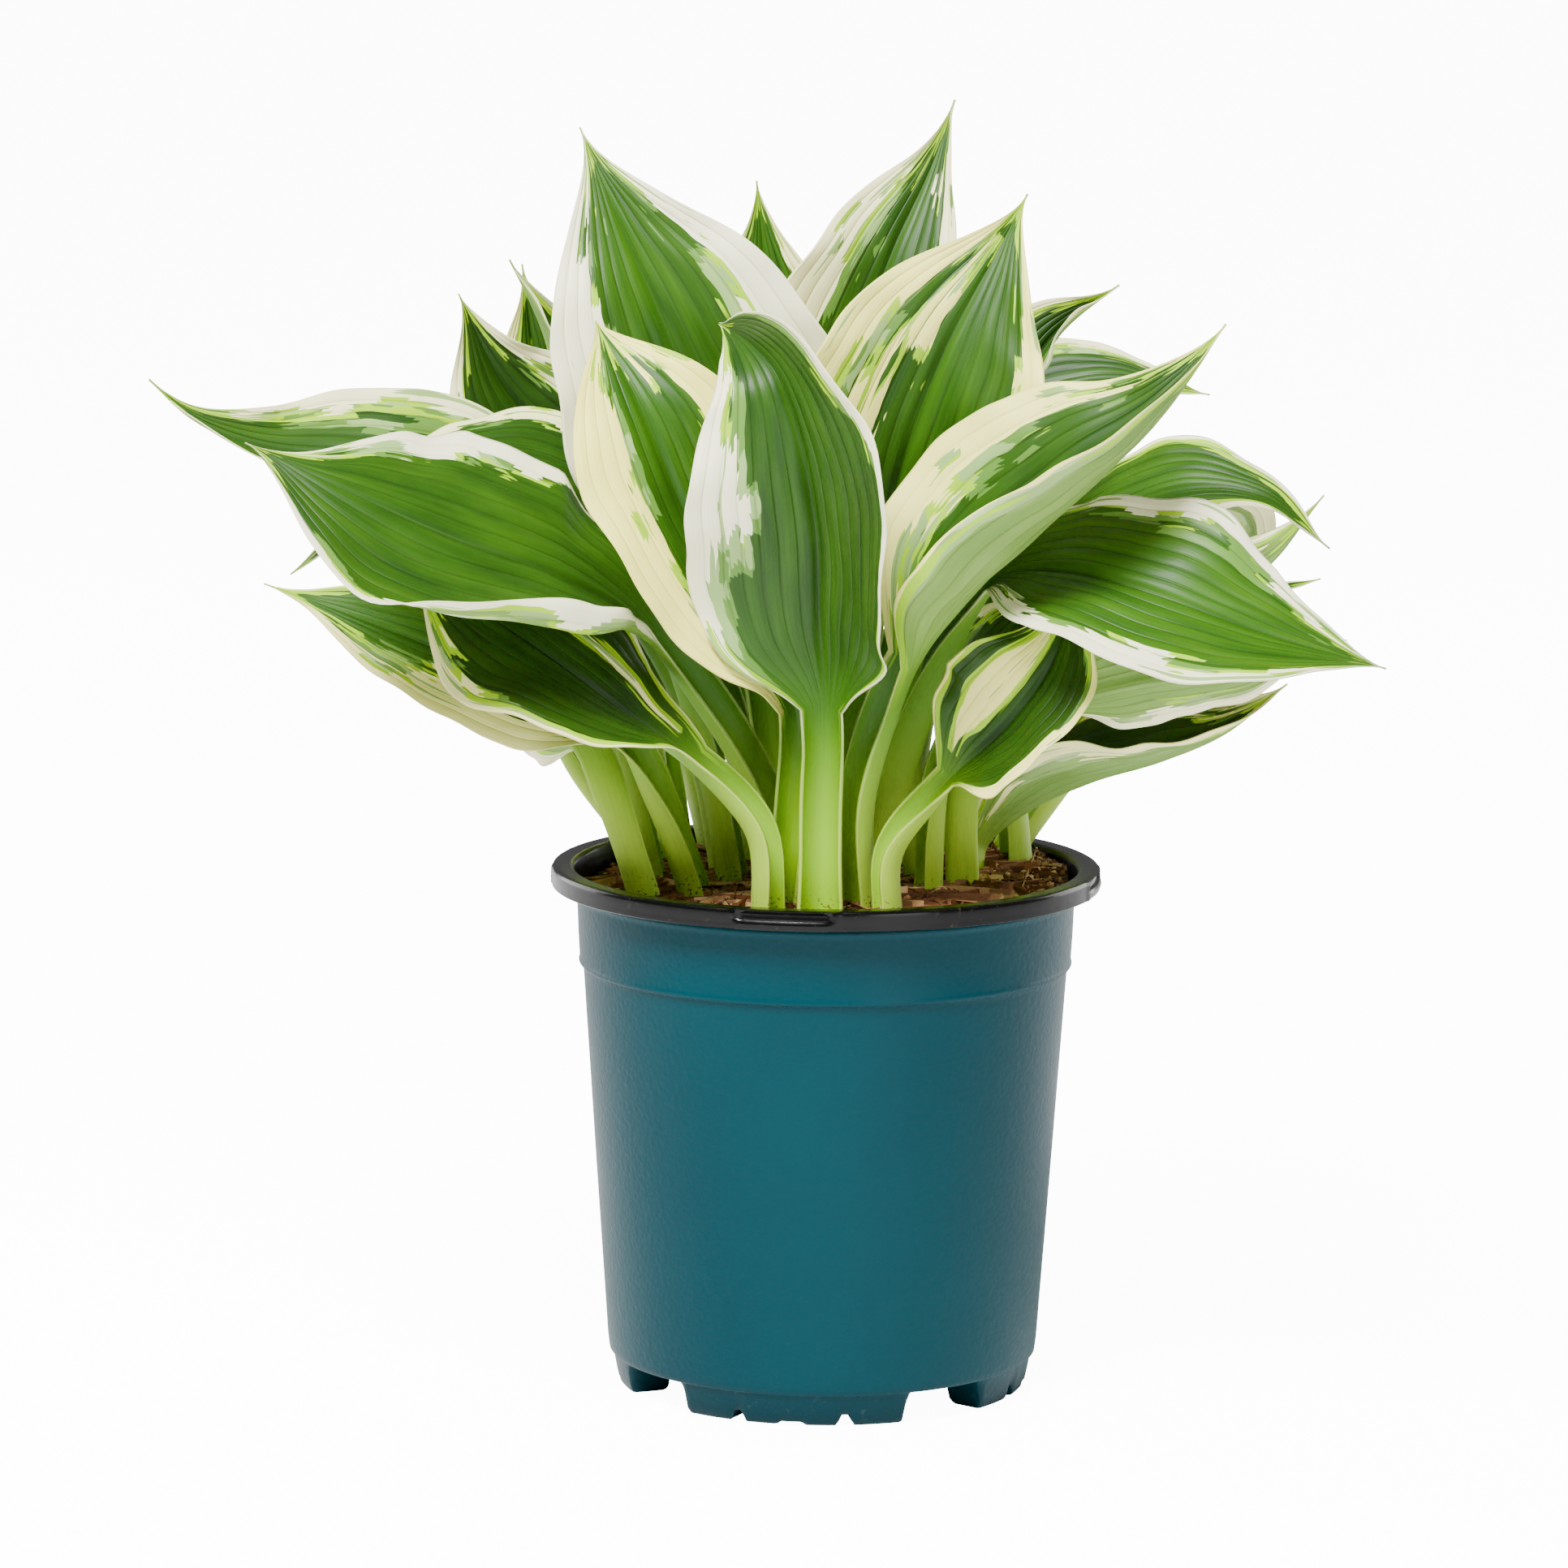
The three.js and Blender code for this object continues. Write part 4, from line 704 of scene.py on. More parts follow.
# %% How each leaf is marked
USUAL_MARKS = dict(cream_left=(0.9, 0.76, 0.86), green_left=(0.86, 0.68, 0.84),
                   cream_right=(0.9, 0.72, 0.86), green_right=(0.86, 0.66, 0.84),
                   tint=0.35, fresh=0.4)
MARKS = {
    "front_centre": dict(cream_left=(0.95, 0.9, 0.57, 0.74, 0.86),
                         green_left=(0.93, 0.72, 0.38, 0.66, 0.84),
                         cream_right=(0.97, 0.96, 0.95, 0.86, 0.93),
                         green_right=(0.97, 0.95, 0.93, 0.82, 0.93), tint=0.12, fresh=0.35),
    "front_mid_left": dict(cream_left=(0.45, 0.5, 0.48, 0.45, 0.6),
                           green_left=(0.45, 0.5, 0.47, 0.45, 0.6),
                           cream_right=(0.9, 0.8, 0.7, 0.55, 0.5),
                           green_right=(0.9, 0.8, 0.7, 0.55, 0.5), tint=0.85, fresh=0.7),
    "front_right": dict(cream_left=(0.6, 0.64, 0.72, 0.82, 0.9),
                        green_left=(0.48, 0.48, 0.48, 0.72, 0.9), cream_right=(0.97, 0.97, 0.95),
                        green_right=(0.9, 0.84, 0.92), tint=0.75, fresh=0.55),
    "front_left": dict(cream_left=(0.9, 0.88, 0.93), green_left=(0.86, 0.84, 0.93),
                       cream_right=(0.98, 0.97, 0.74, 0.68, 0.8),
                       green_right=(0.97, 0.97, 0.7, 0.62, 0.8), tint=0.1, fresh=0.45),
    "low_left": dict(cream_left=(0.96, 0.93, 0.62), green_left=(0.94, 0.88, 0.56),
                     cream_right=(0.96, 0.95, 0.72), green_right=(0.94, 0.92, 0.66), tint=0.5,
                     fresh=0.15, stripe_right=(0.42, 0.5)),
    "cup_right": dict(cream_left=(0.97, 0.97, 0.9), green_left=(0.96, 0.96, 0.88),
                      cream_right=(0.88, 0.86, 0.86), green_right=(0.86, 0.84, 0.86), tint=0.75,
                      fresh=0.15, stripe_left=(0.22, 0.62)),
    "low_right_front": dict(cream_left=(0.95, 0.84, 0.66), green_left=(0.95, 0.68, 0.5),
                            cream_right=(0.7, 0.82, 0.9), green_right=(0.6, 0.8, 0.9), tint=0.1,
                            fresh=0.85),
    "under_left": dict(tint=0.2, fresh=0.3),
    "far_low_left": dict(cream_left=(0.7, 0.5, 0.86), green_left=(0.62, 0.44, 0.84),
                         cream_right=(0.97, 0.95, 0.93), green_right=(0.97, 0.94, 0.93), tint=0.6,
                         fresh=0.75),
    "left_mid": dict(cream_left=(0.9, 0.85, 0.85), green_left=(0.86, 0.82, 0.85),
                     cream_right=(0.85, 0.86, 0.7), green_right=(0.8, 0.84, 0.66), tint=0.45,
                     fresh=0.25),
    "far_left": dict(cream_left=(0.95, 0.9, 0.95), green_left=(0.95, 0.88, 0.95),
                     cream_right=(0.9, 0.76, 0.9), green_right=(0.76, 0.5, 0.88), tint=0.3,
                     fresh=0.45),
    "upper_left": dict(cream_left=(0.8, 0.7, 0.86), green_left=(0.78, 0.68, 0.86),
                       cream_right=(0.85, 0.62, 0.8), green_right=(0.7, 0.42, 0.78), tint=0.3,
                       fresh=0.1),
    "back_left_tip": dict(cream_left=(0.7, 0.55, 0.7), tint=0.6, fresh=0.4),
    "left_rolled": dict(tint=0.2, fresh=0.4),
    "top_left": dict(cream_left=(0.55, 0.55, 0.82), green_left=(0.45, 0.48, 0.8),
                     cream_right=(0.9, 0.6, 0.8), green_right=(0.84, 0.52, 0.78), tint=0.12,
                     fresh=0.6),
    "back_top": dict(cream_left=(0.9, 0.8, 0.9), tint=0.5, fresh=0.7),
    "top_right": dict(cream_left=(0.5, 0.45, 0.84), green_left=(0.4, 0.42, 0.82),
                      cream_right=(0.7, 0.6, 0.7), green_right=(0.66, 0.56, 0.68), tint=0.35,
                      fresh=0.45),
    "right_centre": dict(cream_left=(0.94, 0.84, 0.58, 0.66, 0.86),
                         green_left=(0.92, 0.74, 0.5, 0.6, 0.84), cream_right=(0.92, 0.82, 0.92),
                         green_right=(0.9, 0.78, 0.9), tint=0.8, fresh=0.6, stripe_left=(0.3, 0.36)),
    "right_rolled": dict(tint=0.3, fresh=0.2),
    "back_right": dict(tint=0.3, fresh=0.4),
    "right_arch": dict(cream_left=(0.95, 0.93, 0.8), green_left=(0.95, 0.92, 0.78),
                       cream_right=(0.8, 0.76, 0.86), green_right=(0.76, 0.72, 0.86), tint=0.15,
                       fresh=0.5),
    "right_back": dict(cream_left=(0.8, 0.5, 0.6), cream_right=(0.85, 0.8, 0.7), tint=0.25,
                       fresh=0.4),
    "right_under": dict(cream_left=(0.9, 0.8, 0.75), green_left=(0.85, 0.7, 0.6),
                        cream_right=(0.88, 0.84, 0.8), green_right=(0.84, 0.8, 0.7), tint=0.2,
                        fresh=0.3),
    "low_right": dict(cream_left=(0.9, 0.72, 0.4), green_left=(0.88, 0.66, 0.36),
                      cream_right=(0.78, 0.74, 0.6), green_right=(0.7, 0.62, 0.5), tint=0.5,
                      fresh=0.35),
}

# %% From the table to values on the mesh
STALK_CREAM = 0.955
FULL_MARGIN = 6.0
LEAST_RAGGED = 0.1
MARKS_BEGIN = (0.9, 1.12)
STRIPE_BEGINS = (0.05, 0.3)
STRIPE_ENDS = (0.55, 0.9)
STALK_LOOK_ENDS = (0.82, 1.25)
FAR_OUT = -9
GRAIN_UNIT = 10


def edge_line(places, q):
    """A line along the leaf through three values, or through five."""
    if len(places) == 3:
        base, middle, tip = places
        places = (base, 0.35 * base + 0.65 * middle, middle, 0.5 * middle + 0.5 * tip, tip)
    return np.interp(q, [0, 0.22, 0.5, 0.78, 1], places)


def inside_stripe(stripe, q, r, width, on_blade):
    """How far inside a stripe each place lies, in millimetres."""
    inner, outer = stripe
    middle = (inner + outer) / 2
    taper = on_blade * (1 - smooth_step(q, *STRIPE_ENDS)) * smooth_step(q, *STRIPE_BEGINS)
    inside = ((outer - inner) / 2 * taper - np.abs(r - middle)) * width
    return np.where(taper > 0.02, inside, FAR_OUT)


def marking_values(leaf, along, across, lower, width, past_neck):
    """What the mesh tells its material, point by point."""
    marks = {**USUAL_MARKS, **MARKS.get(leaf["name"], {})}
    q, r, right = blade_share(along), np.abs(across), across > 0
    on_blade = smooth_step(along, *MARKS_BEGIN)
    values = {}
    for zone in ("cream", "green"):
        on_left, on_right = (edge_line(marks[f"{zone}_{side}"], q) for side in ("left", "right"))
        line = np.where(right, on_right, on_left)
        line = STALK_CREAM + (line - STALK_CREAM) * on_blade
        values[zone] = (r - line) * width
        if zone == "cream":
            values["ragged"] = np.clip((1 - line) * width / FULL_MARGIN, LEAST_RAGGED, 1) * on_blade
    for side, here in (("left", ~right), ("right", right)):
        if f"stripe_{side}" in marks:
            inside = inside_stripe(marks[f"stripe_{side}"], q, r, width, on_blade)
            for zone in ("cream", "green"):
                values[zone] = np.where(here, np.maximum(values[zone], inside), values[zone])
    values["lane_width"] = width / leaf["veins"]
    values["stalk"] = 1 - smooth_step(along, *STALK_LOOK_ENDS)
    values["under"] = lower
    values["tint"] = np.full(len(q), marks["tint"])
    values["fresh"] = np.full(len(q), marks["fresh"])
    half_seed = 7.3 * leaf["seed"] + 3.1 * right
    values["grain_space"] = np.stack([r * leaf["veins"], past_neck / GRAIN_UNIT, half_seed], -1)
    return values


def store_values(mesh, values):
    for name, numbers in values.items():
        kind, field = ("FLOAT_VECTOR", "vector") if numbers.ndim == 2 else ("FLOAT", "value")
        layer = mesh.attributes.new(name, kind, "POINT")
        layer.data.foreach_set(field, np.ascontiguousarray(numbers, dtype=np.float32).ravel())


# %% [markdown]
# ## What a leaf is made of, for the eye
#
# A leaf grows in strips that run from its base to its tip, a few between each two veins, and
# each strip is green or cream as a whole.  So the edge of the cream is a row of long teeth
# with blunt ends, not a wavy line.  The group below cuts the lanes between the veins into
# strips, gives each strip its own slow noise, and moves the border by that much.  It is used
# twice, for the cream and for the grey-green band inside it.


# %% A node group for the toothed borders
def teeth(tree, lane, reach, seed, lane_width, strips, pace, height):
    """How far each strip moves the border, in millimetres.  There are so many strips to a
    lane, and pace is how fast their noise changes along the leaf."""
    sway = grain(tree, add_node(tree, "ShaderNodeCombineXYZ", {0: reach, 1: seed}).outputs[0], 0.9, 1.0)
    place = scaled(tree, lane, strips, sway)
    number = reckon(tree, "FLOOR", place)
    across_strip = reckon(tree, "SUBTRACT", 0.5, reckon(tree, "FRACT", place))
    blunt = scaled(tree, across_strip, scaled(tree, lane_width, 0.8 / strips))
    where = add_node(tree, "ShaderNodeCombineXYZ", {
        0: scaled(tree, number, 0.73, 0.37), 1: scaled(tree, reach, pace), 2: seed})
    move = scaled(tree, grain(tree, where.outputs[0], 1.0, 1.0), 2 * height, -height)
    return reckon(tree, "ADD", blunt, move)


def border_group():
    """How far a point is past a border, once the border has its teeth."""
    tree, given, out = new_group("toothed_border", {
        "Past": "Float", "Ragged": "Float", "Space": "Vector", "Lane Width": "Float", "Seed": "Float"},
        {"Past": "Float"})
    lane, reach, half_seed = add_node(tree, "ShaderNodeSeparateXYZ", {"Vector": given["Space"]}).outputs
    shared = lane, reach, reckon(tree, "ADD", half_seed, given["Seed"]), given["Lane Width"]
    coarse = teeth(tree, *shared, strips=1.6, pace=0.34, height=14.0)
    fine = teeth(tree, *shared, strips=5.0, pace=0.8, height=3.2)
    move = scaled(tree, reckon(tree, "ADD", coarse, fine), given["Ragged"])
    tree.links.new(reckon(tree, "ADD", given["Past"], move), out["Past"])
    return tree


# %% [markdown]
# The leaf's material puts the colours over one another in order: full green, two tones of
# grey-green, the yellow slivers, the cream, and the veins last, darkened as painted shade in
# their sunken grooves.  The underside is greyer and more matt, because its skin is waxy.
# The stalk is bright inside its channel and nearly white outside, where it comes out of the soil.

# %% The leaf's material
SHARP = 0.12


def green_skin(tree, green, shade, clouds, under):
    """Full green and two tones of grey-green, each with its underside, and the paler tone."""
    pale = step_between(tree, green, -SHARP, SHARP)
    deeper = scaled(tree, clouds, 14.0, reckon(tree, "SUBTRACT", green, 10.5))
    paler = step_between(tree, deeper, -SHARP, SHARP)
    dark = blend(tree, shade, (16, 45, 2), (42, 82, 6))
    fresh = blend(tree, shade, (36, 80, 4), (74, 124, 12))
    leaf_green = blend(tree, stored(tree, "fresh"), dark, fresh)
    under_green = blend(tree, shade, (98, 136, 52), (142, 174, 88))
    leaf_green = blend(tree, under, leaf_green, under_green)
    grey_green = blend(tree, under, (92, 136, 50), (140, 172, 98))
    grey_pale = blend(tree, under, (146, 180, 104), (178, 202, 134))
    skin = blend(tree, pale, leaf_green, grey_green)
    return blend(tree, paler, skin, grey_pale), grey_pale


def with_slivers(tree, skin, space, cream, tint):
    """Here and there a yellow sliver just inside the cream."""
    slim = grain(tree, stretched(tree, space, (1.1, 0.16, 1), (31, 2, 0)), 1.0, 1.0)
    beside = step_between(tree, cream, -2.2, -1.9)
    some = step_between(tree, scaled(tree, tint, 0.12, slim), 0.52, 0.56)
    return blend(tree, scaled(tree, beside, some), skin, (160, 206, 4))


def cream_skin(tree, space, cream, tint, fibres, grey_pale):
    """White to butter yellow, with a few grey-green flecks near its border."""
    white = blend(tree, tint, (255, 252, 226), (255, 246, 92))
    white = blend(tree, scaled(tree, fibres, 0.25), white, (250, 240, 140))
    fleck = grain(tree, stretched(tree, space, (1.6, 0.16, 1), (4, 21, 0)), 1.0, 2.0)
    fleck = reckon(tree, "SUBTRACT", fleck, scaled(tree, cream, 0.012))
    return blend(tree, step_between(tree, fleck, 0.6, 0.61), white, grey_pale)


def blade_colours(tree, space, border, fibres, clouds):
    """The colours of the upper and the under side of the blade, and a mask of the veins."""
    tint, under = stored(tree, "tint"), stored(tree, "under")
    lane_width, ragged = stored(tree, "lane_width"), stored(tree, "ragged")
    shared = {"Space": space, "Ragged": ragged, "Lane Width": lane_width}
    cream = use_group(tree, border, {"Past": stored(tree, "cream"), "Seed": 0.0, **shared})["Past"]
    green = use_group(tree, border, {"Past": stored(tree, "green"), "Seed": 40.0, **shared})["Past"]
    shade = scaled(tree, fibres, 0.6, scaled(tree, clouds, 1.2, -0.6), clamp=True)
    skin, grey_pale = green_skin(tree, green, shade, clouds, under)
    skin = with_slivers(tree, skin, space, cream, tint)
    cream_mask = step_between(tree, cream, -SHARP, SHARP)
    skin = blend(tree, cream_mask, skin, cream_skin(tree, space, cream, tint, fibres, grey_pale))

    # The veins are darkened on the green and greyed on the cream: painted shade in their sunken
    # grooves.
    lane = add_node(tree, "ShaderNodeSeparateXYZ", {0: space}).outputs[0]
    from_vein = reckon(tree, "PINGPONG", lane, 0.5)
    vein = reckon(tree, "SUBTRACT", 1.0, step_between(tree, from_vein, 0.0, 0.12))
    green_with_vein_shade = blend(tree, scaled(tree, vein, 0.24), skin, (44, 70, 12), "MULTIPLY")
    cream_with_vein_shade = blend(tree, scaled(tree, vein, 0.16), skin, (190, 190, 110))
    return blend(tree, cream_mask, green_with_vein_shade, cream_with_vein_shade), vein


def stalk_colour(tree, fibres):
    """Bright inside the channel, nearly white outside, with specks of soil low down."""
    height = height_of(tree, object_coordinates(tree))
    high = step_between(tree, height, 0.156, 0.215)
    channel = blend(tree, high, (144, 192, 2), (62, 112, 2))
    outside = blend(tree, high, (168, 198, 48), (86, 136, 12))
    outside = blend(tree, scaled(tree, fibres, 0.5), outside, (100, 140, 30))
    stem = blend(tree, stored(tree, "under"), channel, outside)
    rim = step_between(tree, stored(tree, "cream"), -0.05, 0.05)
    stem = blend(tree, scaled(tree, rim, 0.12), stem, (236, 238, 150))
    low = reckon(tree, "SUBTRACT", 1.0, step_between(tree, height, 0.151, 0.159))
    dirt = grain(tree, object_coordinates(tree), 900.0, 2.0)
    specks = scaled(tree, low, step_between(tree, dirt, 0.6, 0.66))
    return blend(tree, specks, stem, (80, 56, 36))


def leaf_material(border):
    material, tree, shader = new_material("hosta_leaf", {
        "Specular IOR Level": 0.26, "Subsurface Weight": 0.06, "Subsurface Scale": 0.003})
    space = stored(tree, "grain_space", "Vector")
    fibres = grain(tree, stretched(tree, space, (5.0, 0.25, 1)), 1.0, 3.0, 0.6)
    clouds = grain(tree, stretched(tree, space, (0.8, 0.3, 1), (9, 9, 0)), 1.0, 2.0)
    stalk, under = stored(tree, "stalk"), stored(tree, "under")
    blade, vein = blade_colours(tree, space, border, fibres, clouds)
    paint = blend(tree, stalk, blade, stalk_colour(tree, fibres))
    roughness = scaled(tree, under, 0.16, scaled(tree, fibres, 0.12, 0.36))
    sunk = scaled(tree, vein, reckon(tree, "SUBTRACT", stalk, 1.0))
    sunk = scaled(tree, sunk, scaled(tree, under, -1.8, 0.8))
    relief_height = scaled(tree, fibres, 0.8, sunk)
    give_skin(tree, shader, paint, roughness, relief_height, 0.6, 0.0003)
    return material


leaf_finish = leaf_material(border_group())

# %% Growing all the leaves from the pattern
VEIN_CHOICES = (6, 7)
BROAD_LEAF = 60

for number, leaf in enumerate(LEAVES):
    leaf = {**USUAL_LEAF, **leaf, "seed": number + 1, "veins": VEIN_CHOICES[leaf["width"] > BROAD_LEAF]}
    mesh = pattern.copy()
    mesh.name = f"hosta_{leaf['name']}"
    points, width, past_neck = leaf_surface(leaf, along, across, lower)
    mesh.vertices.foreach_set("co", np.ascontiguousarray(in_frame(points), dtype=np.float32).ravel())
    store_values(mesh, marking_values(leaf, along, across, lower, width, past_neck))
    mesh.update()
    finish_piece(mesh.name, mesh, [leaf_finish], [f"leaf_{leaf['name']}"])
bpy.data.meshes.remove(pattern)
print("leaves grown:", len(LEAVES))

# %% [markdown]
# ## The pot
#
# This pot is one sheet of plastic, teal outside and black inside, sucked hot into a mould.
# Everything on it is therefore a dent or a swelling of one round shell.  So it is drawn as
# half a section, turned right round with spin, and its points are then pushed: up, to lift
# the base between the four feet, and in, for the finger grips in the rim.

# %% The pot's section
RIM_RADIUS = 81.0
POT_STEPS = 400

OUTSIDE = [(0, 7), (46, 7), (47.6, 6.4), (48.6, 4.6), (49.2, 1.2), (50, 0.3), (51, 0),
           (52.5, 0), (57.5, 0), (59, 0), (60.1, 0.25), (60.7, 0.9), (61.2, 3), (61.8, 6),
           (62.3, 8.9), (62.5, 9.4), (63.1, 9.65), (63.5, 10.1), (63.7, 11.5), (64, 14),
           (65.1, 30), (66.5, 50), (67.9, 70), (69.3, 91), (70.6, 110), (71.55, 124.2),
           (71.7, 125.4), (71.9, 126), (72.6, 126.3), (72.95, 126.8), (73, 127.3),
           (72.85, 127.8), (72.75, 128.4), (73.2, 136), (73.55, 145.6), (73.7, 146.6),
           (74.15, 147.1), (74.3, 147.6), (74.2, 148.1), (73.95, 148.5), (74.1, 149.6)]
RIM = [(74.4, 152), (74.9, 153.6), (78.9, 153.6), (79.5, 152.9), (79.6, 149.8), (79.8, 149.55),
       (80.7, 149.55), (81, 149.8), (81.02, 150.4), (80.97, 151.2), (81, 151.9), (81, 152.4),
       (81, 152.8), (81, 153.4), (80.98, 154.1), (80.94, 154.6), (80.7, 155.2), (80.2, 155.5),
       (78.4, 155.35), (76, 155.4), (75.2, 155.3), (74.6, 154.8), (74.35, 154)]
INSIDE = [(74, 152), (73.2, 149), (72.5, 146), (71.6, 128.5), (71.3, 127), (70.5, 125.8),
          (66.6, 70), (62.6, 14), (61.8, 11.4), (60.4, 10.2), (57.5, 10.2), (52.5, 10.2), (0, 10.2)]


# %% [markdown]
# The four feet and the four finger grips share the same directions, a little to the left of
# the front.  Between the feet the base is lifted, and each foot has a shallow rise in its
# middle and two small notches, which let the water out from under the pot.  A drain slot
# goes through the floor between each two feet: its faces are taken out of both skins, and
# the two openings are then bridged.

# %% Pushing the shell into feet and grips
FEET_START = math.radians(-98.9)
QUARTER = math.pi / 2
BASE_RADIUS = 46.5
FOOT_INNER = 50
FOOT_RADIUS = 61
FOOT_HEIGHT = 9.6
FLOOR_HEIGHT = 7.0
FOOT_HALF_ARC = 34.3
GAP_SLOPE = 2.2
GAP_LIFT = 0.93
NOTCH_AT = 16.2
NOTCH_HALF = 2.6
NOTCH_STEEP = 1.6
NOTCH_LIFT = 3.2
MIDDLE_HALF = 4.2
MIDDLE_SLOPE = 0.8
MIDDLE_LIFT = 0.9
GRIP_HALF = 13.6
GRIP_ENDS = (-0.6, 1.2)
GRIP_DEPTH = 1.1
POCKET_BEGINS = (152.3, 152.9)
POCKET_ENDS = (154.2, 155.1)
LIP = 0.5
LIP_HEIGHT = 151.2
LIP_HALF = 0.8
LIP_CORNER = 0.9
DRAIN_INNER = 52.5
DRAIN_OUTER = 57.5
DRAIN_HALF = 6


def around_foot(x, y, radius):
    """How far along the circle a point is from the nearest foot's middle."""
    angle = (math.atan2(y, x) - FEET_START + QUARTER / 2) % QUARTER - QUARTER / 2
    return angle * radius


def push_foot(point):
    arc = abs(around_foot(point.x, point.y, FOOT_RADIUS))
    half_slope = GAP_SLOPE / 2
    gap = float(smooth_step(arc, FOOT_HALF_ARC - half_slope, FOOT_HALF_ARC + half_slope))
    notch = min(1.0, NOTCH_STEEP * max(0.0, 1 - abs(arc - NOTCH_AT) / NOTCH_HALF))
    middle = float(smooth_step(MIDDLE_HALF - arc, 0, MIDDLE_SLOPE))
    lift = max(GAP_LIFT * gap, NOTCH_LIFT / FOOT_HEIGHT * notch, MIDDLE_LIFT / FOOT_HEIGHT * middle)
    full = FOOT_HEIGHT if math.hypot(point.x, point.y) > FOOT_INNER else FLOOR_HEIGHT
    point.z += max(0.0, full - point.z) * lift


def push_grip(point):
    arc = abs(around_foot(point.x, point.y, RIM_RADIUS))
    inside = float(smooth_step(GRIP_HALF - arc, *GRIP_ENDS))
    pocket = float(smooth_step(point.z, *POCKET_BEGINS) * (1 - smooth_step(point.z, *POCKET_ENDS)))
    swelling = math.exp(-((point.z - LIP_HEIGHT) / LIP_HALF) ** 2)
    corner = math.exp(-((arc - GRIP_HALF - LIP_CORNER) / LIP_CORNER) ** 2)
    move = LIP * max(inside * swelling, corner) - GRIP_DEPTH * inside * pocket
    radius = math.hypot(point.x, point.y)
    point.xy *= (radius + move) / radius


def in_drain(face):
    """Whether a face lies where a drain slot goes through the floor."""
    middle = face.calc_center_median()
    radius = math.hypot(middle.x, middle.y)
    from_slot = QUARTER / 2 * radius - abs(around_foot(middle.x, middle.y, radius))
    in_floor = middle.z < FOOT_HEIGHT + 1
    return in_floor and DRAIN_INNER < radius < DRAIN_OUTER and from_slot < DRAIN_HALF


def cut_drains(shape):
    """The floor's faces taken out, and the edges left open bridged, one slot at a time."""
    cut = [face for face in shape.faces if in_drain(face)]
    bmesh.ops.delete(shape, geom=cut, context="FACES")
    slots = [[], [], [], []]
    for edge in shape.edges:
        if edge.is_boundary:
            start = edge.verts[0].co
            turned = (math.atan2(start.y, start.x) - FEET_START) % (2 * math.pi)
            slots[int(turned / QUARTER)].append(edge)
    for slot in slots:
        bmesh.ops.bridge_loops(shape, edges=slot)


# %% [markdown]
# A face is black when it belongs to the rim, to the inside of the wall or to the top of the
# floor, and teal everywhere else.  All of it is decided before the mesh goes into the frame,
# while the measures are still in millimetres.

# %% Spinning the section
LONGEST_OUTSIDE = 9
LONGEST_INSIDE = 20
GRIPS_ABOVE = 149.5
GRIPS_OUTSIDE = 80.3
CREASE = 38
FLOOR_ABOVE = 8
FLOOR_RADIUS = 62
FACING_UP = 0.3
BLACK_ABOVE = 149.2
WALL_ABOVE = 14
WALL_HEIGHTS = (14, 126, 127, 147)
WALL_RADII = (64, 71.7, 72.7, 73.6)
SHEET = 0.6


def subdivided(points, longest):
    """The same outline, with more points where a stretch is long."""
    result = [points[0]]
    for (r0, z0), (r1, z1) in zip(points, points[1:]):
        pieces = max(1, round(math.hypot(r1 - r0, z1 - z0) / longest))
        result += [(r0 + (r1 - r0) * i / pieces, z0 + (z1 - z0) * i / pieces)
                   for i in range(1, pieces + 1)]
    return result


def spun(profile, steps):
    """A closed skin from a section that starts and ends on the axis."""
    shape = bmesh.new()
    points = [shape.verts.new((r, 0, z)) for r, z in profile]
    edges = [shape.edges.new(pair) for pair in zip(points, points[1:])]
    bmesh.ops.spin(shape, geom=points + edges, cent=(0, 0, 0), axis=(0, 0, 1),
                   angle=2 * math.pi, steps=steps, use_merge=True)
    bmesh.ops.remove_doubles(shape, verts=shape.verts, dist=1e-4)
    bmesh.ops.recalc_face_normals(shape, faces=shape.faces)
    return shape


def sharpen(shape, degrees):
    """Smooth shading, with a crease wherever two faces meet at more than this angle."""
    for face in shape.faces:
        face.smooth = True
    for edge in shape.edges:
        edge.smooth = edge.calc_face_angle(0) < math.radians(degrees)


def into_frame(shape):
    bmesh.ops.scale(shape, vec=(MM, MM, MM), verts=shape.verts)
    bmesh.ops.translate(shape, vec=pot_axis, verts=shape.verts)


def is_black(face):
    """Whether a face is on the rim, inside the wall or on top of the floor."""
    middle = face.calc_center_median()
    radius = math.hypot(middle.x, middle.y)
    if middle.z > BLACK_ABOVE:
        return True
    if middle.z > WALL_ABOVE:
        return radius < np.interp(middle.z, WALL_HEIGHTS, WALL_RADII) - SHEET
    return middle.z > FLOOR_ABOVE and face.normal.z > FACING_UP and radius < FLOOR_RADIUS


def pot_mesh():
    section = subdivided(OUTSIDE, LONGEST_OUTSIDE) + RIM + subdivided(INSIDE, LONGEST_INSIDE)
    shape = spun(section, POT_STEPS)
    for vert in shape.verts:
        radius = math.hypot(vert.co.x, vert.co.y)
        if vert.co.z < FOOT_HEIGHT and BASE_RADIUS < radius:
            push_foot(vert.co)
        elif vert.co.z > GRIPS_ABOVE and radius > GRIPS_OUTSIDE:
            push_grip(vert.co)
    cut_drains(shape)
    for face in shape.faces:
        face.material_index = int(is_black(face))
    sharpen(shape, CREASE)
    into_frame(shape)
    return mesh_from(shape, "nursery_pot")
